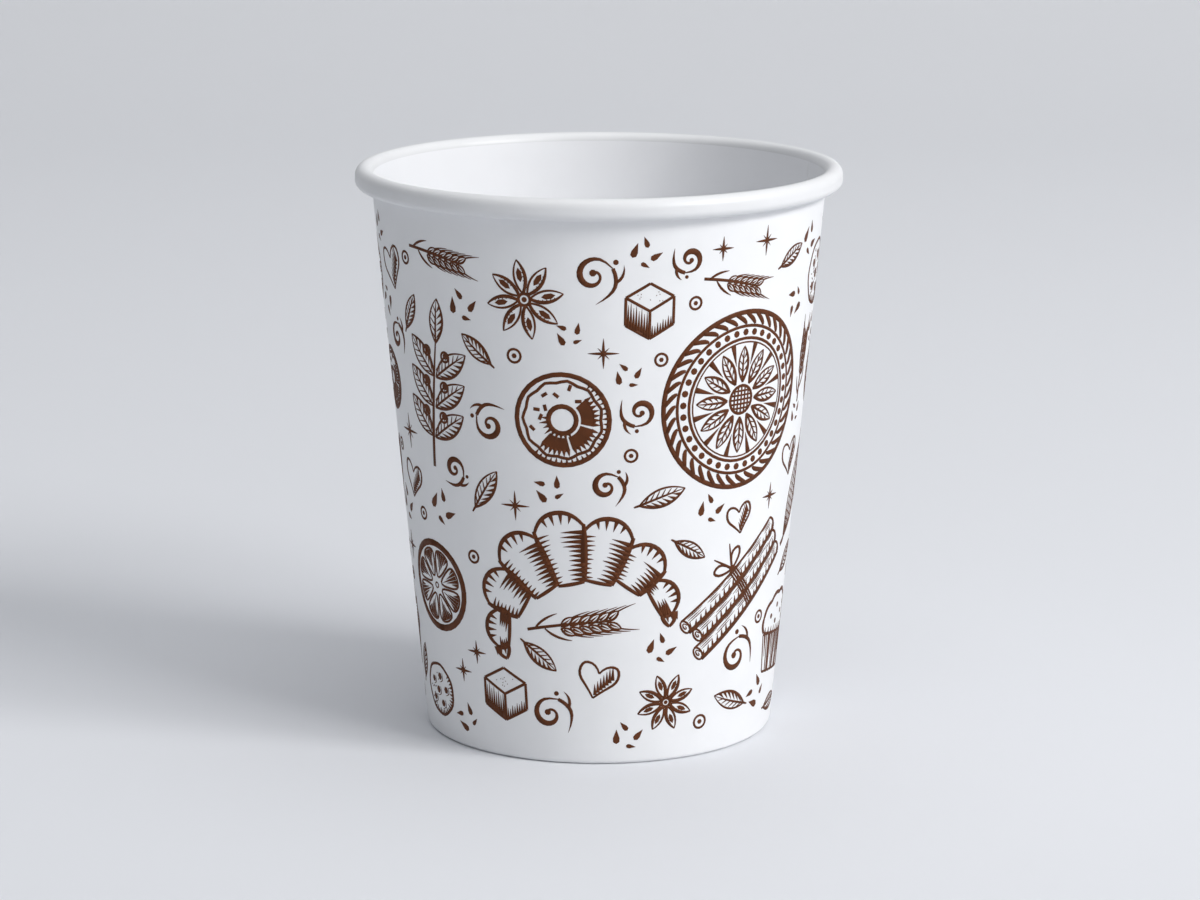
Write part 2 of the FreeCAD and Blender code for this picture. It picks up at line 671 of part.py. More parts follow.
def make_wall_print():
    """The print on the outside of the wall: flat fields of brown ink, each its own solid."""
    foot = value("base_diameter") / 2
    head = foot + value("cup_height") * math.tan(math.radians(wall_lean()))
    ends = FreeCAD.Vector(0, 0, 0), FreeCAD.Vector(0, 0, value("cup_height"))
    wall = Part.Cone(*ends, foot, head)

    length, _ = printed_band()
    free, _ = printed_arc()
    panel_width = free / PANELS * (foot + head) / 2
    scale = math.sqrt(length * panel_width / (ARTWORK_HEIGHT * ARTWORK_WIDTH))
    solids = []
    for panel in range(PANELS):
        for motif, across, up, turn, size in ARTWORK:
            for outline in motif(size):
                corners = [on_wall(across + 2 * panel, up, turn, scale, x, y) for x, y in outline]
                solids.append(ink_solid(corners, wall, value("ink_thickness")))
    feature = doc.addObject("Part::Feature", "wall_print")
    feature.Label = "wall_print"
    feature.Shape = Part.makeCompound(solids)
    return feature


def check_objects():
    """Stop with a message if any object of the document failed."""
    for thing in doc.Objects:
        failed = {"Invalid", "Error"} & set(thing.State)
        if failed:
            raise SystemExit(f"{thing.Label} is {failed}")


def write_parts(pieces):
    os.makedirs("parts", exist_ok=True)
    for piece in pieces:
        shape = piece.Shape
        if shape.isNull() or not shape.isValid():
            raise SystemExit(f"{piece.Label} has no valid shape")
        print(piece.Label, "solids", len(shape.Solids), "volume", round(shape.Volume, 2), "mm3")
        shape.exportStep(f"parts/{piece.Label}.step")


pieces = [make_side_wall(), make_floor_disc(), make_wall_print()]
doc.recompute()
check_objects()
write_parts(pieces)
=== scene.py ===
# %% [markdown]
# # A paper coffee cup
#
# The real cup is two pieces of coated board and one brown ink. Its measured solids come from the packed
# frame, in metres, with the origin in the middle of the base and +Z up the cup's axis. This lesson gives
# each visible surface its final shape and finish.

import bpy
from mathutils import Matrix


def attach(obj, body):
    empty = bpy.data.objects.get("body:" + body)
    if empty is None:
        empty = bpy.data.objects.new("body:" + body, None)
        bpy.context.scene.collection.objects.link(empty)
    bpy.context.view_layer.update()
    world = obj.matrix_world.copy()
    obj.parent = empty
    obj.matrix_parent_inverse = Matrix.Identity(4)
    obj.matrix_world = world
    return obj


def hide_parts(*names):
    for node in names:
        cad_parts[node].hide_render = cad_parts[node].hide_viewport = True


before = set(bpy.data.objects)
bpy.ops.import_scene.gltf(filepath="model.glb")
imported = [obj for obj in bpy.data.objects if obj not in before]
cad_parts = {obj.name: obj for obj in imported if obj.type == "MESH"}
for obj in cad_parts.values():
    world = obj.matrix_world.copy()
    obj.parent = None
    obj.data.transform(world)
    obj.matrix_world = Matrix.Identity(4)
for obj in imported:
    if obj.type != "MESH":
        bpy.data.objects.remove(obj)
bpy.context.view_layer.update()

# %% [markdown]
# Blender works in metres and the cup is measured in millimetres, so every section and drawing below is
# made in millimetres and shrunk once, when it becomes an object. The sizes repeat the named values of the
# measured model. The wall's lean follows from them: its inner face meets the roll of the lip without a
# kink.

# %% The cup's own sizes, in millimetres
import cmath
import math
import random

import bmesh
import bpy
from mathutils import Matrix, Vector

CUP_HEIGHT = 94.0
RIM_RADIUS = 40.0
BASE_RADIUS = 28.8
BOARD = 0.4
ROLL_RADIUS = 1.5
UNDER_RADIUS = 1.275
TUCK_RADIUS = 0.9
ROLL_FOOT = 90.5
FOLD_RADIUS = 0.45
HEM_HEIGHT = 7.0
HEM_WIDTH = 1.24
FLOOR_HEIGHT = 8.5
FLOOR_BEND = 0.5
SKIRT_INSET = 0.42
SKIRT_FOOT = 0.6
SEAM_TURN = 98.0
LAP_WIDTH = 7.0
RAMP_WIDTH = 2.5

across = RIM_RADIUS - ROLL_RADIUS - BASE_RADIUS
up = CUP_HEIGHT - ROLL_RADIUS
LEAN = math.atan2(across, up) - math.asin((ROLL_RADIUS - BOARD) / math.hypot(across, up))
print("the wall leans", round(math.degrees(LEAN), 3), "degrees from upright")


def wall_radius(height):
    """The outer radius of the wall at a height."""
    return BASE_RADIUS + height * math.tan(LEAN)


# %% [markdown]
# ## Camera
#
# The view is a little above the lip, through a long lens, as a product photograph is taken. Place, tilt
# and lens were fitted to the ellipses of the rim and the base.

# %% Put the camera in its place
def new_object(name, data):
    """An object in the scene that shows the data it is given."""
    made = bpy.data.objects.new(name, data)
    bpy.context.collection.objects.link(made)
    return made


CAMERA_DIP = 12.376
camera = new_object("camera", bpy.data.cameras.new("camera"))
camera.location = (0.00018, -0.6354, 0.1853)
camera.rotation_euler = (math.radians(90 - CAMERA_DIP), 0, 0)
camera.data.lens = 117.09
camera.data.sensor_width = 36
camera.data.clip_start = 0.01
bpy.context.scene.camera = camera
print("camera looks down by", round(CAMERA_DIP, 1), "degrees through", round(camera.data.lens), "mm")

# %% [markdown]
# ## Colours and nodes
#
# Colours are written as the sRGB hex values of a picture editor, and one function turns them into the
# linear values that light adds up in. Another adds any node, sets what it is given and links the rest.

# %% Two helpers for materials
def linear(code):
    """A hex colour as linear red, green, blue and full opacity."""
    channels = [int(code[k:k + 2], 16) / 255 for k in (1, 3, 5)]
    return *[c / 12.92 if c <= 0.04045 else ((c + 0.055) / 1.055) ** 2.4 for c in channels], 1.0


def add_node(material, kind, settings, links):
    """A new node in a material; settings are its values and links are the outputs it takes."""
    node = material.node_tree.nodes.new("ShaderNode" + kind)
    for name, value in settings.items():
        if name in node.inputs:
            node.inputs[name].default_value = value
        else:
            setattr(node, name, value)
    for name, output in links.items():
        material.node_tree.links.new(output, node.inputs[name])
    return node


def new_material(name, roughness, ior):
    """A material with a plain shader, its roughness and how strongly its surface bends light."""
    material = bpy.data.materials.new(name)
    material.use_nodes = True
    shader = material.node_tree.nodes["Principled BSDF"]
    shader.inputs["Roughness"].default_value = roughness
    shader.inputs["IOR"].default_value = ior
    return material, shader


# %% [markdown]
# ## Finish of the board
#
# Cup board is bleached wood pulp. A thin clay coating outside takes the print: white, satin and almost
# even, with a faint cloudiness of a few millimetres and the fine relief of pressed fibres. The side that
# meets the drink is laminated with polyethylene, which is smoother and a little glossier. Cut edges and
# the bare underside show the pulp itself, warmer and dull. The lip is laminated too, and its colour is
# set a shade greyer. Part of that comes from rolling, which stretches its film. Part is painted shade,
# which tones down the light the roll catches from above. All five are one pattern with other numbers.
# A fibre is about 0.03 mm wide, too fine to show, so its relief is drawn at 0.3 mm.

# %% Board finishes
CLOUD, PATCH, FIBRE = 0.007, 0.002, 0.0003


def board_finish(name, light, dark, roughness, ior, relief):
    """Board with clouds of 7 mm between two close colours; relief is the height of its fibres in mm."""
    material, shader = new_material(name, roughness, ior)
    place = add_node(material, "TexCoord", {}, {}).outputs["Object"]
    clouds = add_node(material, "TexNoise", {"Scale": 1 / CLOUD, "Detail": 3.0}, {"Vector": place})
    colours = add_node(material, "ValToRGB", {}, {"Fac": clouds.outputs["Fac"]})
    for element, position, colour in zip(colours.color_ramp.elements, (0.3, 0.7), (dark, light)):
        element.position, element.color = position, linear(colour)
    material.node_tree.links.new(colours.outputs["Color"], shader.inputs["Base Color"])
    patches = add_node(material, "TexNoise", {"Scale": 1 / PATCH, "Detail": 2.0}, {"Vector": place})
    rough = add_node(material, "MapRange", {"To Min": roughness - 0.05, "To Max": roughness + 0.05},
                     {"Value": patches.outputs["Fac"]})
    material.node_tree.links.new(rough.outputs["Result"], shader.inputs["Roughness"])
    stretched = add_node(material, "Mapping", {"Scale": (1.0, 1.0, 0.4)}, {"Vector": place})
    fibres = add_node(material, "TexNoise", {"Scale": 1 / FIBRE, "Detail": 2.0},
                      {"Vector": stretched.outputs["Vector"]})
    bump = add_node(material, "Bump", {"Strength": 1.0, "Distance": relief / 1000},
                    {"Height": fibres.outputs["Fac"]})
    material.node_tree.links.new(bump.outputs["Normal"], shader.inputs["Normal"])
    return material


clay_coated = board_finish("clay_coated_board", "#edeef0", "#eaebed", 0.5, 1.5, 0.004)
laminated = board_finish("polyethylene_laminated_board", "#eeeff2", "#ecedf0", 0.38, 1.51, 0.003)
cut_edge = board_finish("cut_board_edge", "#ece5d8", "#ddd3c2", 0.85, 1.45, 0.02)
bare_pulp = board_finish("bare_pulp_underside", "#f0ece4", "#e8e3d9", 0.8, 1.45, 0.01)
# The lip takes the laminated board's colours a shade darker: partly stretched film, partly painted shade on
# the roll.
lip_board_with_painted_shade = board_finish("laminated_lip_with_painted_shade", "#e2e3e5", "#dfe0e2", 0.4, 1.51, 0.003)
print("board finishes:", clay_coated.name, laminated.name, lip_board_with_painted_shade.name, cut_edge.name, bare_pulp.name)

# %% [markdown]
# ## Finish of the ink
#
# The pattern is printed by flexography: a rubber plate presses a thin, water based brown ink onto the
# flat blank before it is wound. It dries matt, its cover is a little uneven, and where a fibre stands
# proud a lighter speck shows. Specks of 0.15 mm and clouds of 2 mm give that.

# %% Ink finish
SPECK = 0.00015
ink, ink_shader = new_material("brown_flexographic_ink", 0.6, 1.3)
ink_place = add_node(ink, "TexCoord", {}, {}).outputs["Object"]
cover = add_node(ink, "TexNoise", {"Scale": 1 / PATCH, "Detail": 3.0}, {"Vector": ink_place})
shades = add_node(ink, "ValToRGB", {}, {"Fac": cover.outputs["Fac"]})
for element, position, colour in zip(shades.color_ramp.elements, (0.35, 0.65), ("#552d13", "#5f3216")):
    element.position, element.color = position, linear(colour)
specks = add_node(ink, "TexNoise", {"Scale": 1 / SPECK, "Detail": 1.0}, {"Vector": ink_place})
speck_share = add_node(ink, "MapRange", {"From Min": 0.68, "From Max": 0.8, "To Max": 0.5},
                       {"Value": specks.outputs["Fac"]})
speckled = add_node(ink, "Mix", {"data_type": "RGBA"}, {"Factor": speck_share.outputs["Result"]})
# A Mix node has sockets for each kind of value: colours go into numbers 6 and 7 and come out of 2.
COLOUR_A, COLOUR_B, COLOUR_OUT = 6, 7, 2
speckled.inputs[COLOUR_B].default_value = linear("#6b4a3a")
ink.node_tree.links.new(shades.outputs["Color"], speckled.inputs[COLOUR_A])
ink.node_tree.links.new(speckled.outputs[COLOUR_OUT], ink_shader.inputs["Base Color"])
print("ink finish:", ink.name)

# %% [markdown]
# ## Drawing a section with a pen
#
# Both board pieces are turned shapes, so each starts as a section in the XZ plane. A pen with two moves
# draws it: a straight run, and a bend that turns the last vertex about a centre. Every vertex keeps the
# number of the move that made it, which later tells the side of the board that a face belongs to.

# %% The pen and its two moves
def at_turn(centre, radius, degrees):
    """A point of the section at a radius and an angle round a centre."""
    angle = math.radians(degrees)
    return Vector((centre[0] + radius * math.cos(angle), 0, centre[2] + radius * math.sin(angle)))


def start_section(place):
    mesh = bmesh.new()
    layer = mesh.verts.layers.int.new("move")
    return mesh, layer, mesh.verts.new(place)


def run(mesh, layer, tip, move, target, steps=1):
    """Draw straight to a point."""
    stride = (Vector(target) - tip.co) / steps
    for _ in range(steps):
        tip = bmesh.ops.extrude_vert_indiv(mesh, verts=[tip])["verts"][0]
        tip.co += stride
        tip[layer] = move
    return tip


def bend(mesh, layer, tip, move, centre, degrees, steps):
    """Draw an arc about a centre; a positive angle turns anticlockwise as seen from the front."""
    for _ in range(steps):
        tip = bmesh.ops.extrude_vert_indiv(mesh, verts=[tip])["verts"][0]
        bmesh.ops.rotate(mesh, verts=[tip], cent=centre,
                         matrix=Matrix.Rotation(math.radians(degrees / steps), 4, (0, -1, 0)))
        tip[layer] = move
    return tip


def draw(mesh, layer, tip, moves):
    """Draw a list of moves, each with its number, its pen and what that pen takes."""
    for move, pen, *where in moves:
        tip = pen(mesh, layer, tip, move, *where)
    return tip


def finished_object(mesh, name, materials):
    """A smooth shaded object, in metres, from a mesh drawn in millimetres."""
    bmesh.ops.scale(mesh, vec=(0.001, 0.001, 0.001), verts=mesh.verts)
    data = bpy.data.meshes.new(name)
    mesh.to_mesh(data)
    mesh.free()
    for material in materials:
        data.materials.append(material)
    return new_object(name, data)


# %% [markdown]
# ## Section of the side wall
#
# One blank makes the whole wall. From its hidden bottom end, the section goes down the back of the hem,
# round the folded foot, up the printed outside, and over into the lip, which is rolled outwards until its
# edge is tucked against the wall. From that edge it comes back along the other side of the same board,
# 0.4 mm away. The lip therefore shows the laminated inside, and is glossier than the wall below it.

# %% Draw the section of the side wall
lean_degrees = math.degrees(LEAN)
fold_outer = Vector((BASE_RADIUS - FOLD_RADIUS * (1 - math.sin(LEAN)) / math.cos(LEAN), 0, FOLD_RADIUS))
fold_inner = Vector((BASE_RADIUS - (HEM_WIDTH - FOLD_RADIUS - FOLD_RADIUS * math.sin(LEAN)) / math.cos(LEAN),
                     0, FOLD_RADIUS))
roll_top = Vector((RIM_RADIUS - ROLL_RADIUS, 0, CUP_HEIGHT - ROLL_RADIUS))
roll_under = Vector((RIM_RADIUS - UNDER_RADIUS, 0, ROLL_FOOT + UNDER_RADIUS))
roll_tuck = Vector((roll_under.x - UNDER_RADIUS + TUCK_RADIUS, 0, roll_under.z))
hem_foot = at_turn(fold_inner, FOLD_RADIUS, 180 - lean_degrees)
hem_rise = (HEM_HEIGHT - hem_foot.z) / math.cos(LEAN)
hem_top = hem_foot + hem_rise * Vector((math.sin(LEAN), 0, math.cos(LEAN)))
hem_front_top = hem_top + BOARD * Vector((math.cos(LEAN), 0, -math.sin(LEAN)))

(HEM_BACK, FOLD_IN, FOOT, FOLD_OUT, WALL_OUT, TOP_IN, RUN_IN, UNDER_IN, TUCK_IN, ROLL_EDGE, TUCK_OUT,
 UNDER_OUT, RUN_OUT, TOP_OUT, WALL_IN, CREASE_OUT, CHANNEL, CREASE_IN, HEM_FRONT) = range(1, 20)

wall, move, first_tip = start_section(hem_top)
last_tip = draw(wall, move, first_tip, [
    (HEM_BACK, run, hem_foot, 4),
    (FOLD_IN, bend, fold_inner, 90 + lean_degrees, 6),
    (FOOT, run, (fold_outer.x, 0, 0)),
    (FOLD_OUT, bend, fold_outer, 90 - lean_degrees, 6),
    (WALL_OUT, run, at_turn(roll_top, ROLL_RADIUS - BOARD, 180 - lean_degrees), 30),
    (TOP_IN, bend, roll_top, lean_degrees - 180, 12),
    (RUN_IN, run, at_turn(roll_under, UNDER_RADIUS - BOARD, 0)),
    (UNDER_IN, bend, roll_under, -180, 12),
    (TUCK_IN, bend, roll_tuck, -90, 5),
    (ROLL_EDGE, run, at_turn(roll_tuck, TUCK_RADIUS, 90)),
    (TUCK_OUT, bend, roll_tuck, 90, 6),
    (UNDER_OUT, bend, roll_under, 180, 18),
    (RUN_OUT, run, at_turn(roll_top, ROLL_RADIUS, 0), 2),
    (TOP_OUT, bend, roll_top, 180 - lean_degrees, 22),
    (WALL_IN, run, at_turn(fold_outer, FOLD_RADIUS - BOARD, -lean_degrees), 30),
    (CREASE_OUT, bend, fold_outer, lean_degrees - 90, 3),
    (CHANNEL, run, (fold_inner.x, 0, BOARD)),
    (CREASE_IN, bend, fold_inner, -90 - lean_degrees, 3),
    (HEM_FRONT, run, hem_front_top, 4),
])
wall.edges.new((last_tip, first_tip))
print("the wall's section has", len(wall.verts), "points")

# %% [markdown]
# ## Winding the wall
#
# The section is spun round the axis in stretches. Those near the lap seam are short, so that columns of
# vertices lie exactly on its raw edge and its ramp. Doubles are merged where the last stretch meets the
# first, and the faces are then told which way is out.

# %% Spin the section in stretches
def merged(mesh):
    """Close a shell and turn all its faces outwards."""
    bmesh.ops.remove_doubles(mesh, verts=mesh.verts, dist=0.0005)
    bmesh.ops.recalc_face_normals(mesh, faces=mesh.faces)


EDGE_TURN = 0.08
LAP_TURN = math.degrees(LAP_WIDTH / BASE_RADIUS)
RAMP_TURN = math.degrees((LAP_WIDTH + RAMP_WIDTH) / BASE_RADIUS)
EASED_TURN = 60.0
stretches = [(EDGE_TURN, 1), (LAP_TURN - EDGE_TURN, 10), (EDGE_TURN, 1),
             (RAMP_TURN - LAP_TURN - EDGE_TURN, 5), (EASED_TURN - RAMP_TURN, 28), (360 - EASED_TURN, 200)]

last = wall.verts[:] + wall.edges[:]
for turn, steps in stretches:
    last = bmesh.ops.spin(wall, geom=last, cent=(0, 0, 0), axis=(0, 0, 1), angle=math.radians(turn),
                          steps=steps)["geom_last"]
merged(wall)
print("the wound wall has", len(wall.faces), "faces")

# %% [markdown]
# ## Lap seam, hem and the hand of the machine
#
# The blank's ends overlap by 7 mm. Outside, that leaves a raw edge one board high, a flat lap, and a ramp
# back to the single wall. Inside, the covered edge leaves a small step. The columns are first drawn
# together with height, because the lap is as wide at the top as at the foot. Then the vertices are moved
# outwards. The wheel that presses the hem onto the floor's skirt knurls it. The fold springs back a
# little, so the cup stands on the inner edge of its foot, with a dark line of about 0.3 mm under the
# outer one. The wound wall wavers by less than a tenth of a millimetre, which softens its highlights.

# %% Move the vertices of the seam, the hem and the wall
FLAP_END, FLAP_GONE = 90.3, 91.2
STEP_TOP = CUP_HEIGHT - ROLL_RADIUS
LAP_SWELL = 0.14
KNURL_DEPTH, KNURL_TURN, KNURL_FOOT, KNURL_TOP = 0.06, 1.5, 1.0, 6.9
FOOT_LIFT, FOOT_LIFT_TOP = 0.28, 2.0


def smooth_share(value, low, high):
    """Zero below low, one above high, and a smooth curve between."""
    share = min(1.0, max(0.0, (value - low) / (high - low)))
    return share * share * (3 - 2 * share)


def waver(turn, height):
    """How far the wound wall stands out from a true cone, in millimetres; turn is in radians."""
    middle = smooth_share(height, 12, 34) * (1 - smooth_share(height, 66, 86))
    return middle * (0.05 * math.sin(2 * turn + 0.7) + 0.03 * math.sin(5 * turn + height / 21)
                     + 0.015 * math.sin(9 * turn - height / 13))


def ramp_share(column):
    """One over the lap, zero past its ramp; a column is counted in degrees from the raw edge."""
    return min(1.0, max(0.0, (RAMP_TURN - column) / (RAMP_TURN - LAP_TURN)))


def flap_share(column, height):
    """How much of the board's thickness the outer flap adds at a column."""
    return ramp_share(column) * (column > EDGE_TURN / 2) * (1 - smooth_share(height, FLAP_END, FLAP_GONE))


def step_share(column, height):
    """How far the inner step is open at a column, as a share of the board's thickness."""
    inside = FLOOR_HEIGHT - 0.01 < height < STEP_TOP
    return ramp_share(column) * (column > LAP_TURN + EDGE_TURN / 2) * inside


def foot_lift(turn, radius, height):
    """How far the outer edge of the folded foot stays off the table."""
    outwards = smooth_share(radius, fold_inner.x, wall_radius(FOLD_RADIUS))
    lift = FOOT_LIFT + 0.05 * math.sin(3 * turn + 1)
    return outwards * (1 - smooth_share(height, 0.5, FOOT_LIFT_TOP)) * lift


def eased(column, height):
    """A column's turn once the lap keeps its width: it shrinks as the wall's radius grows."""
    shrunk = column * BASE_RADIUS / wall_radius(min(height, roll_top.z))
    return shrunk + (column - shrunk) * smooth_share(column, RAMP_TURN, EASED_TURN)


for vertex in wall.verts:
    radius, height = math.hypot(vertex.co.x, vertex.co.y), vertex.co.z
    column = math.degrees(math.atan2(vertex.co.y, vertex.co.x)) % 360
    column = 0.0 if column > 359.99 else column
    part = vertex[move]
    turn = math.radians(eased(column, height) if column < EASED_TURN else column)
    if part in (WALL_OUT, FOLD_OUT):
        radius += BOARD * flap_share(column, height) * min(1.0, height / FOLD_RADIUS)
    if part == WALL_IN:
        radius += BOARD * step_share(column, height)
    if part in (WALL_OUT, WALL_IN):
        radius += waver(turn, height)
    if part in (UNDER_OUT, RUN_OUT, TOP_OUT) and radius > roll_top.x:
        radius += LAP_SWELL * flap_share(column, 0) * smooth_share(radius, roll_top.x, RIM_RADIUS)
    if part == HEM_BACK and KNURL_FOOT < height < KNURL_TOP and column > EASED_TURN:
        radius += KNURL_DEPTH if round((column - EASED_TURN) / KNURL_TURN) % 2 else -KNURL_DEPTH
    height += foot_lift(turn, radius, height)
    vertex.co = Vector((radius * math.cos(turn), radius * math.sin(turn), height))

bmesh.ops.rotate(wall, verts=wall.verts, cent=(0, 0, 0),
                 matrix=Matrix.Rotation(math.radians(SEAM_TURN - 90), 4, "Z"))

# %% [markdown]
# Each face takes the finish of its side of the board. The moves up to the tucked edge drew the printed
# side, and the moves after it drew the laminated side. The two cut ends, and the raw edges of the lap,
# show the pulp.

# %% Give the wall its finishes
PRINTED, LAMINATED, EDGE, LIP = range(4)
for face in wall.faces:
    moves = [vertex[move] for vertex in face.verts]
    part = max(moves)
    if part == ROLL_EDGE or part - min(moves) > 2:
        face.material_index = EDGE
    else:
        face.material_index = PRINTED if part < ROLL_EDGE else LIP if part <= TOP_OUT else LAMINATED
    middle = face.calc_center_median().xy
    sideways = abs(face.normal.x * middle.y - face.normal.y * middle.x)
    if part in (WALL_OUT, WALL_IN) and sideways > 0.6 * middle.length:
        face.material_index = EDGE
    face.smooth = face.material_index != EDGE

side_wall = finished_object(wall, "wound_side_wall", [clay_coated, laminated, cut_edge, lip_board_with_painted_shade])
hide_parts("side_wall")
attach(side_wall, "root")
size = [round(1000 * d, 2) for d in side_wall.dimensions]
print("side wall:", len(side_wall.data.polygons), "faces, size", size)

# %% [markdown]
# ## Floor
#
# The floor is a disc of board, laminated side up, whose edge is pressed down into a skirt. The skirt
# stands between the wall and its hem, where heat has welded the three together. From above only a disc
# with a soft rounded edge shows, and from below its bare pulp side, deep inside the foot ring. The same
# pen draws it, and it is spun once all the way round.

# %% Draw and spin the floor disc
knee_height = FLOOR_HEIGHT - BOARD - FLOOR_BEND
knee_inset = SKIRT_INSET + BOARD + FLOOR_BEND - knee_height * math.sin(LEAN)
knee = Vector((BASE_RADIUS - knee_inset / math.cos(LEAN), 0, knee_height))
skirt_top = at_turn(knee, FLOOR_BEND + BOARD, -lean_degrees)
skirt_drop = (skirt_top.z - SKIRT_FOOT) / math.cos(LEAN)
skirt_foot = skirt_top - skirt_drop * Vector((math.sin(LEAN), 0, math.cos(LEAN)))
skirt_back = skirt_foot + BOARD * Vector((-math.cos(LEAN), 0, math.sin(LEAN)))
FACE, KNEE_OUT, SKIRT_OUT, SKIRT_EDGE, SKIRT_IN, KNEE_IN, UNDERSIDE = range(1, 8)

floor, move, tip = start_section((0, 0, FLOOR_HEIGHT))
draw(floor, move, tip, [
    (FACE, run, (knee.x, 0, FLOOR_HEIGHT), 12),
    (KNEE_OUT, bend, knee, -90 - lean_degrees, 8),
    (SKIRT_OUT, run, skirt_foot, 3),
    (SKIRT_EDGE, run, skirt_back),
    (SKIRT_IN, run, at_turn(knee, FLOOR_BEND, -lean_degrees), 3),
    (KNEE_IN, bend, knee, 90 + lean_degrees, 6),
    (UNDERSIDE, run, (0, 0, FLOOR_HEIGHT - BOARD), 12),
])
bmesh.ops.spin(floor, geom=floor.verts[:] + floor.edges[:], cent=(0, 0, 0), axis=(0, 0, 1),
               angle=math.tau, steps=144, use_merge=True)
merged(floor)

for face in floor.faces:
    part = max(vertex[move] for vertex in face.verts)
    face.material_index = 0 if part <= SKIRT_OUT else 1 if part > SKIRT_EDGE else 2
    face.smooth = True

floor_disc = finished_object(floor, "pressed_floor_disc", [laminated, bare_pulp, cut_edge])
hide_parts("floor_disc")
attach(floor_disc, "root")
print("floor disc:", len(floor_disc.data.polygons), "faces")

# %% [markdown]
# ## The pen drawing
#
# The pattern is drawn like an old engraving: outlines of 0.5 mm, bold ones of 0.8 mm, veins of 0.25 mm,
# and shading made of short cuts that are wide at an edge and run out to a point. It is a generic pattern
# of pastries, spices and leaves. Each motif is a function that yields its pen lines one by one, on a flat
# sheet, in millimetres. A point of the sheet is one complex number, across plus up times 1j, because
# adding it moves a drawing and multiplying it turns one.

# %% Pen lines on the flat sheet
OUTLINE = 0.5
BOLD = 0.8
FINE = 0.25
hand = random.Random(11)


def polar(radius, degrees):
    return cmath.rect(radius, math.radians(degrees))


def line(points, width, start=0.2, end=0.2):
    """A pen line with a share of its width at its ends and all of it in its middle."""
    widths = []
    for k in range(len(points)):
        way = k / (len(points) - 1)
        share = start if way < 0.5 else end
        widths.append(width * (share + (1 - share) * min(1, 2 * way, 2 - 2 * way)))
    return "line", points, widths


def loop(points, width):
    return "loop", points, [width] * len(points)


def patch(points):
    """A solid field of ink."""
    return "patch", points, []


def bow(start, end, aside):
    """Three points that lead from one end to the other and swing to the left by a share of the way."""
    return [start, (start + end) / 2 + 1j * (end - start) * aside, end]


def on_bow(points, share):
    """The point part of the way along a bow."""
    first, middle, last = points
    return (1 - share) ** 2 * first + 2 * share * (1 - share) * middle + share ** 2 * last


def curve_round(centre, radius, first, last, steps):
    return [centre + polar(radius, first + (last - first) * k / steps) for k in range(steps + 1)]


def circle(centre, radius, width, corners=12):
    """A closed round line; its corners stand outside, because the curve passes inside them."""
    reach = radius / math.cos(math.pi / corners)
    return loop([centre + polar(reach, 360 * k / corners) for k in range(corners)], width)


def blot(centre, radius, corners=8):
    return patch([centre + polar(radius, 360 * k / corners) for k in range(corners)])


def straight(start, end, width, first=0.2, last=0.2):
    return line([start, (start + end) / 2, end], width, first, last)


def wedge(root, tip, width, swing=0.0):
    """A shading cut as a graver leaves it: wide at its root and pointed at its tip."""
    return "line", bow(root, tip, swing), [width, 0.6 * width, 0.04]


def ring_of_cuts(count, first, apart, root, tips, width):
    """Cuts side by side on a round edge, whose tips take two radii by turns."""
    for k in range(count):
        turn = first + apart * k
        yield wedge(polar(root, turn), polar(tips[k % 2], turn), width)


def veined_leaf(root, tip, plump, veins):
    """Two bowed edges, a midrib, fine veins on the light side and wedges on the shaded side."""
    left, right = bow(root, tip, plump), bow(root, tip, -plump)
    yield line(left, OUTLINE, 0.5, 0.3)
    yield line(right, 1.3 * OUTLINE, 0.6, 0.4)
    yield line(bow(root, tip, 0.03), OUTLINE, 0.7, 0.1)
    shade = 0.12 + 0.06 * abs(tip - root)
    for k in range(veins):
        share = 0.1 + 0.72 * k / veins
        rib = root + (tip - root) * share
        light, dark = (on_bow(edge, min(0.97, share + 0.17)) for edge in (left, right))
        yield straight(rib, rib + 0.85 * (light - rib), FINE, 0.9, 0.4)
        yield wedge(dark, rib + 0.12 * (dark - rib), shade)


# %% [markdown]
# The largest motif is a round ornament: a twisted rope, a row of beads, two fine rings and twelve veined
# leaves about a hatched middle.

# %% Rosette
def rosette(size):
    r = size / 2
    for reach, width, corners in ((1, BOLD, 36), (0.84, OUTLINE, 32), (0.7, OUTLINE, 24), (0.655, FINE, 24),
                                  (0.16, OUTLINE, 12)):
        yield circle(0, reach * r, width, corners)
    for k in range(40):
        yield line([polar(0.86 * r, 9 * k), polar(0.91 * r, 9 * k + 1), polar(0.985 * r, 9 * k + 9)],
                   1.1, 0.35, 0.5)
    for k in range(36):
        yield blot(polar(0.77 * r, 10 * k), 0.04 * r)
    for turn in range(0, 360, 30):
        yield from veined_leaf(polar(0.2 * r, turn), polar(0.61 * r, turn), 0.34, 4)
        yield wedge(polar(0.65 * r, turn + 15), polar(0.4 * r, turn + 15), 1.0)
    for k in range(-2, 3):
        aside, reach = 0.05 * r * k, math.sqrt(0.15 ** 2 - (0.05 * k) ** 2) * r
        yield straight(complex(aside, -reach), complex(aside, reach), 1.3 * FINE, 1, 1)
        yield straight(complex(-reach, aside), complex(reach, aside), 1.3 * FINE, 1, 1)


# %% [markdown]
# The croissant is seven rolled bands along an arc. Each band has a bold crown, bowed sides, and two sets
# of tapered strokes that follow the roll and leave a light strip in its middle.

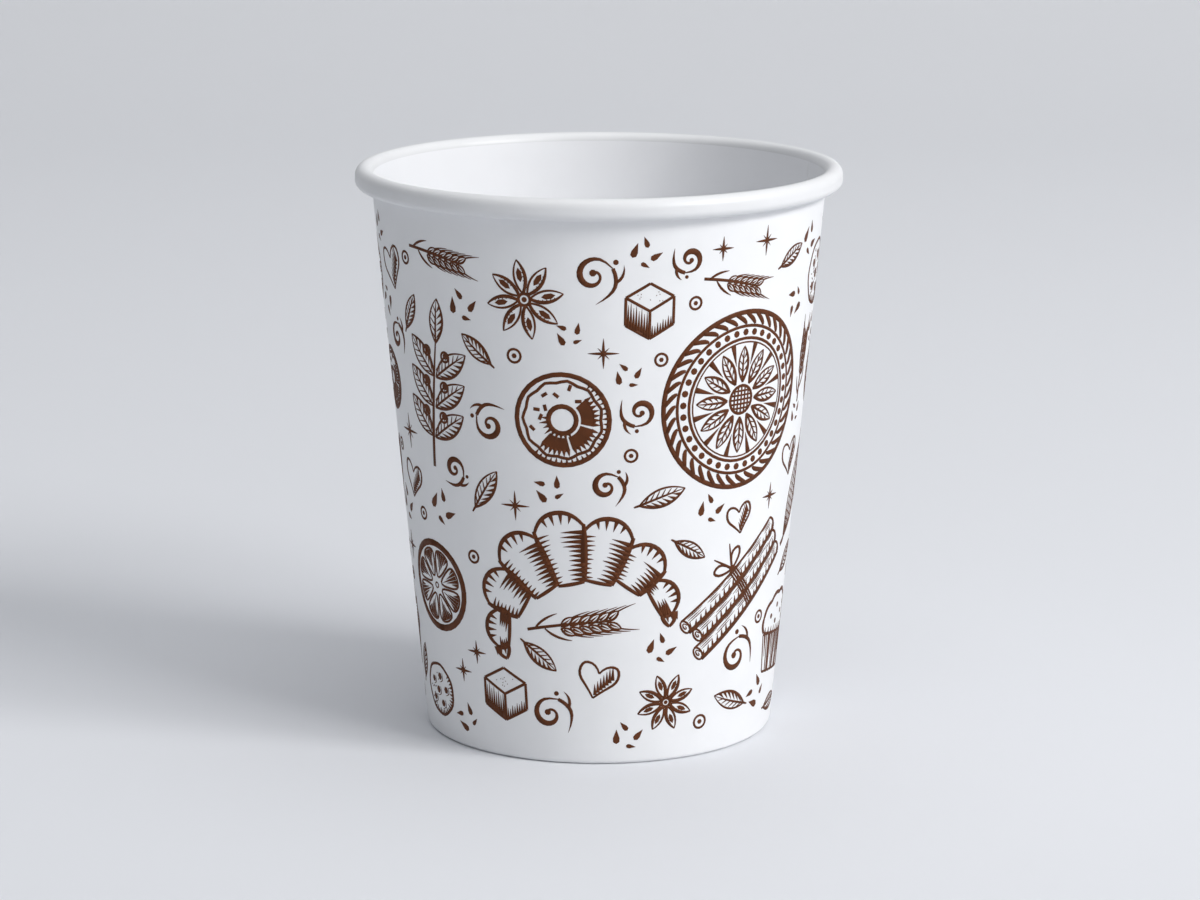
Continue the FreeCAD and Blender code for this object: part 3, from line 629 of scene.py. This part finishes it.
# %% Croissant
def croissant(size):
    def at(reach, turn):
        return polar(reach, turn) - 0.32j * size

    for k, (near, far) in zip(range(-3, 4), ((0.38, 0.475), (0.335, 0.535), (0.3, 0.585), (0.29, 0.61),
                                             (0.3, 0.585), (0.335, 0.535), (0.38, 0.475))):
        near, far, turn = near * size, far * size, 90 - 25 * k
        yield line([at(0.93 * far, turn + 12), at(1.05 * far, turn + 7), at(1.05 * far, turn - 7),
                    at(0.93 * far, turn - 12)], 0.85, 0.6, 0.6)
        yield line([at(near, turn + 12.5), at(0.965 * near, turn), at(near, turn - 12.5)], BOLD, 0.6, 0.6)
        cuts = max(4, round((far - near) / 1.02))
        for side, reach_in, width in ((1, 7.0, 0.62), (-1, 13.0, 0.88)):
            yield line([at(near, turn + 12.5 * side), at((near + far) / 2, turn + 14 * side),
                        at(0.94 * far, turn + 12.2 * side)], 1.0, 0.6, 0.6)
            begin = turn + 13.2 * side
            for step in range(cuts):
                reach = near + (0.89 * far - near) * (step + 0.5) / cuts
                cut = reach_in * (0.7 + 0.3 * hand.random() + 0.4 * abs(step / cuts - 0.5))
                yield wedge(at(reach, begin), at(1.01 * reach, begin - cut * side), width, 0.05 * side)
        for swing in (-6.5, -2.2, 2.2, 6.5):
            crest = far * (1.035 - 0.0005 * swing ** 2)
            yield wedge(at(crest, turn + swing), at(far - 0.035 * size, turn + 0.8 * swing), 0.75)
    for side in (1, -1):
        turn = 90 + 75 * side
        begin, bulge, tip = turn + 12.5 * side, turn + 18 * side, at(0.405 * size, turn + 21 * side)
        yield line([at(0.4465 * size, begin), at(0.4465 * size, bulge), tip], BOLD, 0.8, 0.6)
        yield line([at(0.38 * size, begin), at(0.38 * size, turn + 17 * side), tip], BOLD, 0.8, 0.6)
        for reach in (0.40375 * size, 0.4275 * size, 0.45125 * size):
            yield wedge(at(reach, begin), at(reach, bulge), 0.7)


# %% [markdown]
# Spices come next: a twig with leaves and berries, three sticks of cinnamon tied with string, star anise
# with a seed in every arm, and a ribbed seed pod.

# %% Twig, cinnamon, star anise and pod
def twig(size):
    half = size / 2
    yield line([-half, complex(-0.3 * half, 0.03 * size), 0.9 * half], 0.7, 0.9, 0.4)
    yield from veined_leaf(0.85 * half, 1.5 * half, 0.4, 5)
    for x in (-0.55, -0.1, 0.35):
        for side in (1, -1):
            root = complex(x * half, side * 0.01 * size)
            yield from veined_leaf(root, root + polar(0.36 * size, side * 50), 0.42, 6)
            berry = complex((x + 0.34) * half, side * 0.095 * size)
            yield circle(berry, 0.036 * size, 0.4, 8)
            yield straight(root + 0.1 * half, berry, FINE, 1, 1)
            yield blot(berry + polar(0.011 * size, -40), 0.026 * size)


def cinnamon(size):
    thick = 0.052 * size
    for k, shift in ((-1, -0.04), (0, 0.03), (1, -0.01)):
        middle = 0.115j * size * k
        left, right = (-0.5 + shift) * size + middle, (0.5 - abs(shift)) * size + middle
        yield straight(left + 1j * thick, right + 1j * thick, OUTLINE, 0.8, 0.8)
        yield straight(left - 1j * thick, right - 1j * thick, 0.9, 0.8, 0.8)
        for k_cut in range(round((right - left).real / 1.15)):
            place = left - 1j * thick + 0.5 + 1.15 * k_cut
            yield wedge(place, place + complex(0.7, (0.75 + 0.45 * hand.random()) * thick), 0.62, 0.06)
        yield loop([left + complex(0.55 * thick * math.cos(a), thick * math.sin(a)) * 1.06
                    for a in (math.tau * j / 8 for j in range(8))], 0.34)
        yield line([left + complex(0.5 * math.cos(a), math.sin(a)) * thick * (0.72 - 0.075 * j)
                    for j, a in enumerate(0.9 * n for n in range(9))], 0.28, 0.6, 0.3)
        yield line([right + 1j * thick, right + 0.75 * thick, right - 1j * thick], OUTLINE, 0.8, 0.8)
        for row in range(3):
            begin = left + 0.04 * size + (0.12 + 0.3 * row) * 1j * thick
            while begin.real < right.real - 1.2:
                end = begin + hand.uniform(0.08, 0.2) * size
                end = complex(min(end.real, right.real - 0.4), end.imag)
                yield straight(begin, end, 0.28, 0.2, 0.1)
                begin = end + hand.uniform(0.03, 0.09) * size
    for x in (-0.03, -0.01, 0.01, 0.03):
        yield line(bow(complex(x, -0.18) * size, complex(x, 0.18) * size, -0.05), 0.4, 0.8, 0.8)
    knot = 0.185j * size
    for side in (1, -1):
        for reaches, share, last in ((((0, 0), (0.1, 0.02), (0.15, 0.1), (0.04, 0.11), (0, 0)), 0.8, 0.8),
                                     (((0, 0), (0.03, 0.07), (0.08, 0.17)), 1, 0.4)):
            yield line([knot + complex(x * side, y) * size for x, y in reaches], OUTLINE, share, last)
    yield blot(knot, 0.028 * size)


def anise(size):
    r = size / 2
    yield circle(0, 0.15 * r, OUTLINE, 8)
    yield blot(0, 0.07 * r)
    for turn in range(0, 360, 45):
        root, tip = polar(0.15 * r, turn), polar(r, turn)
        shaded = bow(root, tip, -0.34)
        yield line(bow(root, tip, 0.34), OUTLINE, 0.6, 0.3)
        yield line(shaded, BOLD, 0.6, 0.3)
        yield patch([polar(reach * r, turn + swing) for reach, swing in
                     ((0.44, 0), (0.54, 7), (0.7, 5.5), (0.8, 0), (0.7, -5.5), (0.54, -7))])
        for share in (0.12, 0.24, 0.36, 0.48, 0.6, 0.72):
            start = on_bow(shaded, share)
            yield wedge(start, start + 0.55 * (polar(abs(start), turn) - start), 0.1 + 0.055 * r)


def pod(size):
    half = size / 2
    yield line(bow(-half, half, 0.3), OUTLINE, 0.6, 0.4)
    yield line(bow(-half, half, -0.3), 0.7, 0.6, 0.4)
    yield line([-half, -half - 0.03 * size, complex(-half - 0.08 * size, 0.03 * size)], 0.8, 0.8, 0.9)
    ribs = (0.3, 0.19, 0.07, -0.07, -0.19, -0.3)
    for aside in ribs[1:-1]:
        yield line(bow(-0.97 * half, 0.97 * half, aside), 0.5, 0.4, 0.2)
    for high, lower, reach in zip(ribs, ribs[1:], (0.5, 0.55, 0.6, 0.75, 0.95)):
        for k in range(14):
            share = 0.1 + 0.8 * k / 13
            begin = on_bow(bow(-half, half, lower), share)
            end = on_bow(bow(-half, half, high), share + 0.012)
            yield wedge(begin, begin + reach * (end - begin), 0.6)


# %% [markdown]
# Then the bakery: a ring with icing, a muffin in its pleated paper, a slice of citrus, biscuits with
# chips, and sugar cubes. Round things are shaded along their lower right edge, on the side away from the
# light in the drawing.

# %% Ring with icing, muffin, citrus, biscuit and sugar cube
def doughnut(size):
    r = size / 2
    yield circle(0, r, BOLD, 16)
    yield circle(0, 0.3 * r, BOLD, 10)
    yield loop([polar((0.9 if k % 2 else 0.8) * r, 360 * k / 22) for k in range(22)], OUTLINE)
    for begin in (228, 288, 348):
        rim = [polar((0.72 if j % 2 else 0.67) * r, begin + 55 * j / 6) for j in range(7)]
        yield patch(rim + curve_round(0, 0.4 * r, begin + 55, begin, 5))
        yield from ring_of_cuts(7, begin + 4, 8, 0.66 * r, (0.82 * r, 0.82 * r), 0.1 + 0.08 * r)
    yield from ring_of_cuts(26, -128, 7.2, 0.985 * r, (0.84 * r, 0.87 * r), 0.55)
    yield from ring_of_cuts(9, 175, 15, 0.34 * r, (0.46 * r, 0.51 * r), 0.5)
    for k in range(8):
        place = polar((0.66 if k % 2 else 0.5) * r, 56 + 21 * k)
        yield straight(place, place + polar(0.14 * r, 71 * k), 0.6, 0.9, 0.9)


def muffin(size):
    crown = [size * corner for corner in (-0.44 + 0.03j, -0.47 + 0.2j, -0.3 + 0.37j, -0.05 + 0.45j,
                                          0.22 + 0.41j, 0.42 + 0.25j, 0.44 + 0.03j)]
    for start, end in zip(crown, crown[1:]):
        yield line(bow(start, end, 0.32), BOLD, 0.8, 0.8)
    for k in range(-4, 4):
        top, next_top = (0.11 * size * n for n in (k, k + 1))
        foot, next_foot = (complex(0.085 * n, -0.42) * size for n in (k, k + 1))
        yield line(bow(top, next_top, 0.2), OUTLINE, 0.8, 0.8)
        yield line(bow(foot, next_foot, -0.12), OUTLINE, 0.8, 0.8)
        yield straight(top, foot, 0.36, 0.8, 0.8)
        if k % 2:
            yield patch([top + 0.35 * (next_top - top), foot + 0.35 * (next_foot - foot),
                         foot + 0.9 * (next_foot - foot), top + 0.9 * (next_top - top)])
        else:
            begin = (top + next_top) / 2
            yield wedge(begin, begin + 0.6 * ((foot + next_foot) / 2 - begin), 0.7)
    yield straight(0.44 * size, complex(0.34, -0.42) * size, 0.5, 0.8, 0.8)
    yield line(bow(crown[0], crown[-1], -0.06), OUTLINE, 0.6, 0.6)
    for x, y in ((-0.27, 0.2), (-0.08, 0.31), (0.12, 0.22), (0.27, 0.3), (-0.1, 0.13), (0.3, 0.13)):
        yield blot(complex(x, y) * size, 0.032 * size, 7)
    for k in range(10):
        place = complex(0.46 - 0.005 * k, 0.05 + 0.036 * k) * size
        yield wedge(place, place - complex(0.16 - 0.006 * k, 0.02) * size, 0.6, 0.05)
        place = complex(-0.4 + 0.09 * k, 0.015) * size
        yield wedge(place, place + 0.07j * size, 0.55)


def citrus(size):
    r = size / 2
    yield circle(0, 0.97 * r, 0.15 * r, 16)
    yield circle(0, 0.06 * r, FINE, 6)
    for turn in range(22, 360, 45):
        yield loop([polar(reach * r, turn + swing) for reach, swing in
                    ((0.13, 0), (0.5, -20), (0.82, -19), (0.86, 0), (0.82, 19), (0.5, 20))], 0.38)
        for swing, near in ((-13, 0.6), (-6.5, 0.42), (0, 0.28), (6.5, 0.45), (13, 0.62)):
            yield wedge(polar(0.8 * r, turn + swing), polar(near * r, turn + 0.8 * swing), 0.1 + 0.07 * r)


def biscuit(size):
    r = size / 2
    yield loop([polar((1.03 if k % 2 else 0.97) * r, 360 * k / 14) for k in range(14)], OUTLINE)
    for x, y, reach in ((0.1, 0.5, 0.15), (-0.45, 0.3, 0.13), (0.5, 0.05, 0.14), (-0.1, -0.05, 0.15),
                        (-0.45, -0.4, 0.14), (0.2, -0.52, 0.14)):
        yield blot(complex(x, y) * r, reach * r, 6)
        yield line(curve_round(complex(x, y) * r, (reach + 0.08) * r, -100, 40, 3), FINE, 0.3, 0.3)
    yield from ring_of_cuts(20, -130, 9, 0.97 * r, (0.74 * r, 0.8 * r), 0.55)
    for _ in range(14):
        place = polar((0.3 + 0.5 * hand.random()) * r, 100 + 150 * hand.random())
        yield blot(place, 0.022 * r + 0.04, 5)


def sugar_cube(size):
    r = size / 2
    for turn in range(30, 390, 60):
        yield straight(polar(r, turn), polar(r, turn + 60), OUTLINE, 0.9, 0.9)
    for turn in (30, 150, 270):
        yield straight(0, polar(r, turn), OUTLINE, 0.9, 0.9)
    for k in range(1, 9):
        begin = polar(r, 150) * (1 - k / 9)
        yield wedge(begin - 0.98j * r, begin - (0.2 if k % 2 else 0.08) * 1j * r, 0.52)
        begin = polar(r, 30) * (k / 9)
        yield wedge(begin - 0.97j * r, begin - (0.58 if k % 2 else 0.66) * 1j * r, 0.42)
    for _ in range(10):
        yield blot(complex(0.5 * hand.uniform(-1, 1), 0.5 + 0.22 * hand.uniform(-1, 1)) * r, 0.09, 5)


# %% [markdown]
# Small things fill the gaps, as in any all-over print: hearts, single leaves, sparkles and dots.

# %% Heart, leaf, sparkle and dot
def heart(size):
    side = [size * p for p in (0.22j, 0.12 + 0.46j, 0.5 + 0.5j, 0.56 + 0.08j, 0.2 - 0.25j, -0.5j)]
    yield line(side, OUTLINE, 0.6, 0.6)
    yield line([-p.conjugate() for p in side], OUTLINE, 0.6, 0.6)
    for k in range(7):
        low = complex(0.04 + 0.06 * k, -0.4 + 0.085 * k) * size
        yield wedge(low, low + complex(-0.09, 0.3 + 0.02 * k) * size, 0.62)


def leaf(size):
    yield from veined_leaf(-size / 2, size / 2, 0.36, 6)
    yield straight(-size / 2, -0.62 * size, 0.4, 1, 0.6)


def sparkle(size):
    for turn, reach, width in ((0, 0.5, 0.9), (90, 0.5, 0.9), (45, 0.26, 0.5), (135, 0.26, 0.5)):
        tip = polar(reach * size, turn)
        yield straight(-tip, tip, width, 0.05, 0.05)


def dot(size):
    yield circle(0, size / 2, 0.4, 8)
    yield blot(0, 0.2 * size, 6)


# %% [markdown]
# What is still empty takes ears of wheat, scrolls that end in a twig, and loose groups of drops. They are
# small, and tie the larger motifs into one even pattern.

# %% Wheat, scroll and drops
def wheat(size):
    yield line(bow(-0.5 * size, 0.42 * size, 0.06), 0.55, 0.9, 0.4)
    pen = 0.028 * size
    for k in range(6):
        for side in (1, -1):
            root = complex(-0.12 + 0.1 * k, 0.012 * side) * size
            tip = root + polar(0.17 * size, 32 * side)
            yield line(bow(root, tip, 0.42), pen, 0.6, 0.5)
            yield line(bow(root, tip, -0.42), 1.3 * pen, 0.6, 0.5)
            yield wedge(root + 0.2 * (tip - root), root + 0.8 * (tip - root), pen)
            beard = [tip, tip + polar(0.1 * size, 20 * side), tip + polar(0.2 * size, 14 * side)]
            yield line(beard, FINE, 1, 0.2)
    for side, reach in ((1, -0.42), (-1, -0.3)):
        blade = (reach, complex(reach + 0.1, 0.12 * side), complex(reach + 0.28, 0.16 * side))
        yield line([size * p for p in blade], 0.7, 0.3, 0.1)


def scroll(size):
    coil = [polar(size * 0.5 * (1 - k / 15), 34 * k) for k in range(14)]
    swell = [math.sin(math.pi * min(1, (k + 1) / 11)) ** 2 for k in range(14)]
    yield "line", coil, [0.12 + 0.75 * share + 0.03 * k for k, share in enumerate(swell)]
    yield line([size * p for p in (0.5, 0.52 - 0.3j, 0.25 - 0.62j, -0.2 - 0.7j)], 0.75, 0.8, 0.05)
    yield line([size * p for p in (0.47 - 0.36j, 0.72 - 0.3j, 0.78 - 0.02j)], 0.6, 0.8, 0.05)
    yield blot((0.62 + 0.12j) * size, 0.07 * size)
    yield blot(coil[-1], 0.09 * size)


def drops(size):
    for x, y, reach, turn in ((-0.32, 0.1, 0.34, 60), (0.12, 0.3, 0.26, 100), (0.3, -0.18, 0.3, 20),
                              (-0.08, -0.34, 0.22, -40)):
        middle, tip = complex(x, y) * size, polar(reach * size, turn)
        yield patch([middle + p * tip for p in (1, 0.1 + 0.32j, -0.3 + 0.3j, -0.5, -0.3 - 0.3j, 0.1 - 0.32j)])


# %% [markdown]
# ## Laying the print on the wall
#
# The blank is cut from flat board as a fan, so a drawing on it keeps its shape when the fan is wound into
# a cone. A flat point therefore goes to the wall by its distance from the fan's far tip, and by its angle
# there, which the winding opens up. One panel of motifs covers half of the cup and comes twice. A margin
# stays bare under the lip, at the foot and beside the seam. Each motif is listed with its places: across
# the panel from -1 to 1, up the wall from 0 to 1, its turn in degrees and its size in millimetres.

# %% Where the panel's motifs go
MARGIN_TOP, MARGIN_FOOT, MARGIN_SEAM = 3.0, 3.5, 1.5
PANEL = [
    (rosette, (0.36, 0.67, 0, 29)), (croissant, (-0.235, 0.34, 12, 34.5)), (twig, (-0.73, 0.66, 82, 23)),
    (cinnamon, (0.435, 0.29, 38, 24)), (anise, (-0.36, 0.88, 10, 13)), (doughnut, (-0.25, 0.65, 0, 15)),
    (muffin, (0.76, 0.16, -6, 15)), (citrus, (-0.82, 0.28, 0, 15)), (pod, (0.82, 0.455, 62, 19)),
    (biscuit, (0.81, 0.88, 0, 11)), (sugar_cube, (-0.50, 0.09, 0, 9)), (anise, (0.12, 0.08, 20, 10)),
    (doughnut, (0.93, 0.67, 0, 10)), (biscuit, (-0.88, 0.06, 0, 9)), (sugar_cube, (0.02, 0.86, 0, 9)),
    (heart, (-0.94, 0.90, 12, 7), (-0.93, 0.48, -10, 6), (0.70, 0.52, 8, 6), (-0.14, 0.13, -14, 6)),
    (leaf, (-0.53, 0.50, 55, 8), (0.08, 0.495, 18, 8), (0.42, 0.06, 160, 8), (-0.535, 0.775, 140, 7),
     (0.97, 0.10, 70, 7), (0.56, 0.935, 25, 7)), (sparkle, (-0.12, 0.78, 0, 5), (0.56, 0.46, 0, 4.5),
     (-0.62, 0.165, 0, 4), (0.955, 0.335, 0, 5), (-0.70, 0.12, 0, 4), (0.25, 0.97, 0, 4)),
    (dot, (-0.03, 0.58, 0, 2), (0.06, 0.765, 0, 2), (0.56, 0.215, 0, 2), (-0.60, 0.36, 0, 2),
     (0.96, 0.54, 0, 2), (-0.83, 0.93, 0, 2)), (wheat, (-0.23, 0.24, 8, 15), (-0.68, 0.945, -8, 13),
     (0.735, 0.70, 84, 12), (0.30, 0.90, -12, 12)), (scroll, (-0.15, 0.93, 20, 6.5), (-0.32, 0.06, 60, 6),
     (-0.003, 0.665, 250, 5), (-0.95, 0.765, 60, 5), (0.14, 0.955, 250, 4.5), (-0.50, 0.63, 150, 5.5),
     (-0.11, 0.52, 40, 5), (0.43, 0.15, 80, 6.5), (-0.66, 0.53, -30, 4.5)), (drops, (-0.745, 0.445, 0, 6),
     (0.26, 0.46, 20, 5), (0.59, 0.055, 100, 5.5), (0.95, 0.97, 0, 5), (-0.30, 0.51, 70, 5),
     (0.61, 0.84, 160, 5), (-0.03, 0.015, 30, 5), (0.98, 0.83, 200, 5), (0.09, 0.19, 10, 5),
     (-0.70, 0.02, 90, 5), (0.71, 0.61, 50, 4), (-0.58, 0.855, 30, 5.5), (0.96, 0.42, 20, 6),
     (0.83, 0.765, 0, 5)), (leaf, (-0.83, 0.825, 60, 7), (0.80, 0.31, 30, 8), (-0.35, 0.175, -40, 7)),
    (heart, (0.395, 0.43, 10, 5)), (sparkle, (-0.92, 0.58, 0, 6)), (leaf, (0.19, 0.385, -30, 6.5)),
    (sparkle, (0.42, 0.975, 0, 5)), (drops, (0.68, 0.955, 0, 5.5), (-0.045, 0.735, 40, 4.5)),
    (leaf, (0.77, 0.015, 5, 7)), (dot, (-0.40, 0.77, 0, 2.2)), (drops, (0.0, 0.97, 10, 5)),
    (sparkle, (-0.42, 0.475, 0, 5)), (drops, (-0.225, 0.815, 60, 4.5)), (dot, (0.165, 0.87, 0, 2),
     (0.90, 0.27, 0, 2), (-0.87, 0.42, 0, 2), (0.27, 0.03, 0, 2.2)),
]
foot_radius = wall_radius(FOLD_RADIUS)
printed_length = ROLL_FOOT / math.cos(LEAN) - MARGIN_TOP - MARGIN_FOOT
bare_turn = (LAP_WIDTH + RAMP_WIDTH + 2 * MARGIN_SEAM) / foot_radius
printed_turn = math.tau - bare_turn
first_turn = math.radians(SEAM_TURN) + (LAP_WIDTH + RAMP_WIDTH + MARGIN_SEAM) / foot_radius - math.tau
apex = BASE_RADIUS / math.sin(LEAN)
# The motifs' sizes are those of a flat panel of 98 by 84 mm, and the wall's panel is a little smaller.
SHEET_SCALE = 0.9973
print("the print runs", round(math.degrees(printed_turn)), "degrees round and", round(printed_length), "mm")


def lay_on_wall(mesh, across, up):
    """Move a flat drawing's vertices onto the wall, about a place of the second panel."""
    middle = first_turn + printed_turn * (3 + across) / 4
    for vertex in mesh.verts:
        right, reach = vertex.co.x, apex + MARGIN_FOOT + up * printed_length + vertex.co.y
        turn = middle + math.atan2(right, reach) / math.sin(LEAN)
        slope = math.hypot(right, reach) - apex
        height = slope * math.cos(LEAN) - vertex.co.z * math.sin(LEAN)
        radius = BASE_RADIUS + slope * math.sin(LEAN) + vertex.co.z * math.cos(LEAN)
        vertex.co = Vector((radius * math.sin(turn), -radius * math.cos(turn), height))


# %% [markdown]
# Each pen line becomes a NURBS ribbon whose points carry the pen's width. Blender turns the ribbons into
# a flat mesh. Upright cuts every 1.3 mm let it bend round the wall without sinking in, and a thickness of
# three hundredths of a millimetre makes each line a closed body. Lines that cross lie at slightly
# different heights, as overprinted ink does, so that they never fight for the same plane.

# %% Turn a drawing into a thin mesh
INK_HEIGHT, INK_STEP, INK_STEPS = 0.028, 0.0006, 17
INK_DEPTH = 0.03
CUT_SPACING = 1.3


def drawn_ribbons(art, turn):
    """A flat mesh of a drawing's lines and solid fields, turned on the sheet."""
    pen = bpy.data.curves.new("pen", "CURVE")
    pen.dimensions = "3D"
    pen.twist_mode = "Z_UP"
    pen.extrude = 1.0
    sheet = bmesh.new()
    for index, (kind, points, widths) in enumerate(art):
        height = INK_HEIGHT + INK_STEP * (index % INK_STEPS)
        places = [SHEET_SCALE * polar(1, turn) * point for point in points]
        if kind == "patch":
            sheet.faces.new([sheet.verts.new((place.real, place.imag, height)) for place in places])
            continue
        spline = pen.splines.new("NURBS")
        spline.points.add(len(places) - 1)
        for control, place, width in zip(spline.points, places, widths):
            control.co = (place.real, place.imag, height, 1)
            control.radius = width / 2
            control.tilt = math.radians(90)
        spline.use_cyclic_u = kind == "loop"
        spline.order_u = 3
        spline.use_endpoint_u = kind == "line"
        spans = len(places) if kind == "loop" else len(places) - 2
        length = sum(abs(b - a) for a, b in zip(places, places[1:]))
        spline.resolution_u = max(2 if spans > 6 else 3, min(12, round(length / spans / 1.2)))
    ribbon = new_object("pen", pen)
    bpy.context.view_layer.update()
    flat = bpy.data.meshes.new_from_object(ribbon)
    bmesh.ops.triangulate(sheet, faces=sheet.faces[:])
    sheet.from_mesh(flat)
    bpy.data.objects.remove(ribbon)
    bpy.data.curves.remove(pen)
    bpy.data.meshes.remove(flat)
    return sheet


def ink_of(art, across, up, turn):
    """A motif's ink, cut, thickened and laid on the wall."""
    sheet = drawn_ribbons(art, turn)
    cuts = int(max(abs(vertex.co.x) for vertex in sheet.verts) / CUT_SPACING)
    for k in range(-cuts, cuts + 1):
        bmesh.ops.bisect_plane(sheet, geom=sheet.verts[:] + sheet.edges[:] + sheet.faces[:],
                               plane_co=(k * CUT_SPACING, 0, 0), plane_no=(1, 0, 0))
    for face in sheet.faces:
        if face.normal.z < 0:
            face.normal_flip()
    bmesh.ops.solidify(sheet, geom=sheet.faces[:], thickness=INK_DEPTH)
    bmesh.ops.recalc_face_normals(sheet, faces=sheet.faces)
    lay_on_wall(sheet, across, up)
    return sheet


# %% Print both panels
def printed_panel(name, turn_back):
    """One panel of the print as a piece; turn_back moves it round the cup."""
    panel = bmesh.new()
    for motif, *places in PANEL:
        for across, up, turn, size in places:
            hand.seed(round(1000 * (across + 2 * up)))
            sheet = ink_of(motif(size), across, up, turn)
            part = bpy.data.meshes.new("part")
            sheet.to_mesh(part)
            sheet.free()
            panel.from_mesh(part)
            bpy.data.meshes.remove(part)
    bmesh.ops.rotate(panel, verts=panel.verts, cent=(0, 0, 0), matrix=Matrix.Rotation(-turn_back, 4, "Z"))
    for vertex in panel.verts:
        turn = math.atan2(vertex.co.y, vertex.co.x) - math.radians(SEAM_TURN - 90)
        out = waver(turn % math.tau, vertex.co.z)
        vertex.co += out * Vector((vertex.co.x, vertex.co.y, 0)).normalized()
    piece = finished_object(panel, name, [ink])
    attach(piece, "root")
    faces = piece.data.polygons
    print(name, "has", len(faces), "faces,", sum(len(face.vertices) - 2 for face in faces), "triangles")
    return piece


front_print = printed_panel("front_panel_print", 0.0)
back_print = printed_panel("back_panel_print", printed_turn / 2)
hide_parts("wall_print")

# %% [markdown]
# ## Stage
#
# The cup stands on a pale, faintly blue sheet that sweeps up behind it without a corner. Its colour is
# painted lighter from the front towards the back and up the sweep. This is painted light that makes up
# for the far paper getting less light from the lamps. Three vertices give its profile, the corner is
# bevelled into a wide curve, and the line is drawn out sideways.

# %% Sweep the backdrop
paper, paper_shader = new_material("matt_backdrop_paper", 0.9, 1.4)
paper_place = add_node(paper, "TexCoord", {}, {}).outputs["Object"]
paper_depth = add_node(paper, "SeparateXYZ", {}, {"Vector": paper_place})
# Painted light: the backdrop's colour runs from darker at the front to lighter at the back and up the sweep.
painted_light_share = add_node(paper, "MapRange", {"From Min": -0.4, "From Max": 1.6},
                       {"Value": paper_depth.outputs["Y"]})
painted_light_colours = add_node(paper, "ValToRGB", {}, {"Fac": painted_light_share.outputs["Result"]})
painted_light_colours.color_ramp.elements[0].color = linear("#d9dbe0")
painted_light_colours.color_ramp.elements[1].color = linear("#eff0f3")
paper.node_tree.links.new(painted_light_colours.outputs["Color"], paper_shader.inputs["Base Color"])

sweep = bmesh.new()
corners = [sweep.verts.new(place) for place in ((-4, -2, 0), (-4, 1.6, 0), (-4, 1.6, 3))]
for first, second in zip(corners, corners[1:]):
    sweep.edges.new((first, second))
bmesh.ops.bevel(sweep, geom=[corners[1]], offset=0.9, offset_type="OFFSET", segments=24, profile=0.5,
                affect="VERTICES", material=-1)
drawn = bmesh.ops.extrude_edge_only(sweep, edges=sweep.edges[:])
drawn_verts = [part for part in drawn["geom"] if isinstance(part, bmesh.types.BMVert)]
bmesh.ops.translate(sweep, verts=drawn_verts, vec=(8, 0, 0))
bmesh.ops.recalc_face_normals(sweep, faces=sweep.faces)
for face in sweep.faces:
    face.smooth = True
backdrop = new_object("backdrop", bpy.data.meshes.new("backdrop"))
sweep.to_mesh(backdrop.data)
sweep.free()
backdrop.data.materials.append(paper)
print("backdrop:", len(backdrop.data.polygons), "faces")

# %% [markdown]
# ## Light
#
# Two soft boxes on the right, a third of the way up the sky, act as one wide source: the cup's right side
# is bright, its left side fades into shade without an edge, and one soft shadow falls to the left and a
# little back. A weak, wide light from the front opens up the middle of the wall and the floor before it.
# A wide panel overhead and a dim world, darker on the left, stand for the studio's ceiling and walls.

# %% Place the lights and the surroundings
LAMP_DISTANCE = 1.6
WARM, COOL, SKY = (1.0, 0.99, 0.975), (0.985, 0.99, 1.0), (0.965, 0.98, 1.0)


def soft_light(name, turn, rise, width, power, colour):
    """A round soft box aimed at the cup; its turn is from the front to the right."""
    lamp = new_object(name, bpy.data.lights.new(name, "AREA"))
    lamp.data.shape = "DISK"
    lamp.data.size = width
    lamp.data.energy = power
    lamp.data.color = colour
    turn, rise = math.radians(turn), math.radians(rise)
    level = math.cos(rise)
    lamp.location = LAMP_DISTANCE * Vector((math.sin(turn) * level, -math.cos(turn) * level, math.sin(rise)))
    lamp.rotation_euler = (Vector((0, 0, 0.04)) - lamp.location).to_track_quat("-Z", "Y").to_euler()
    print(name, "at", [round(c, 2) for c in lamp.location], "with", power, "W")


soft_light("side_soft_box", 66, 35, 0.42, 9.8, WARM)
soft_light("front_soft_box", 49, 33, 0.45, 7.1, WARM)
soft_light("front_fill", 22, 28, 1.3, 1.9, COOL)
soft_light("ceiling_panel", 52, 88, 2.0, 10.2, SKY)

world = bpy.data.worlds.new("studio")
bpy.context.scene.world = world
world.use_nodes = True
background = world.node_tree.nodes["Background"]
background.inputs["Color"].default_value = (0.96, 0.978, 1.0, 1.0)
direction = add_node(world, "TexCoord", {}, {}).outputs["Generated"]
sides = add_node(world, "SeparateXYZ", {}, {"Vector": direction})
dimming = add_node(world, "MapRange", {"From Min": -1.0, "To Min": 0.18, "To Max": 0.39},
                   {"Value": sides.outputs["X"]})
world.node_tree.links.new(dimming.outputs["Result"], background.inputs["Strength"])
bpy.context.scene.view_settings.view_transform = "Standard"
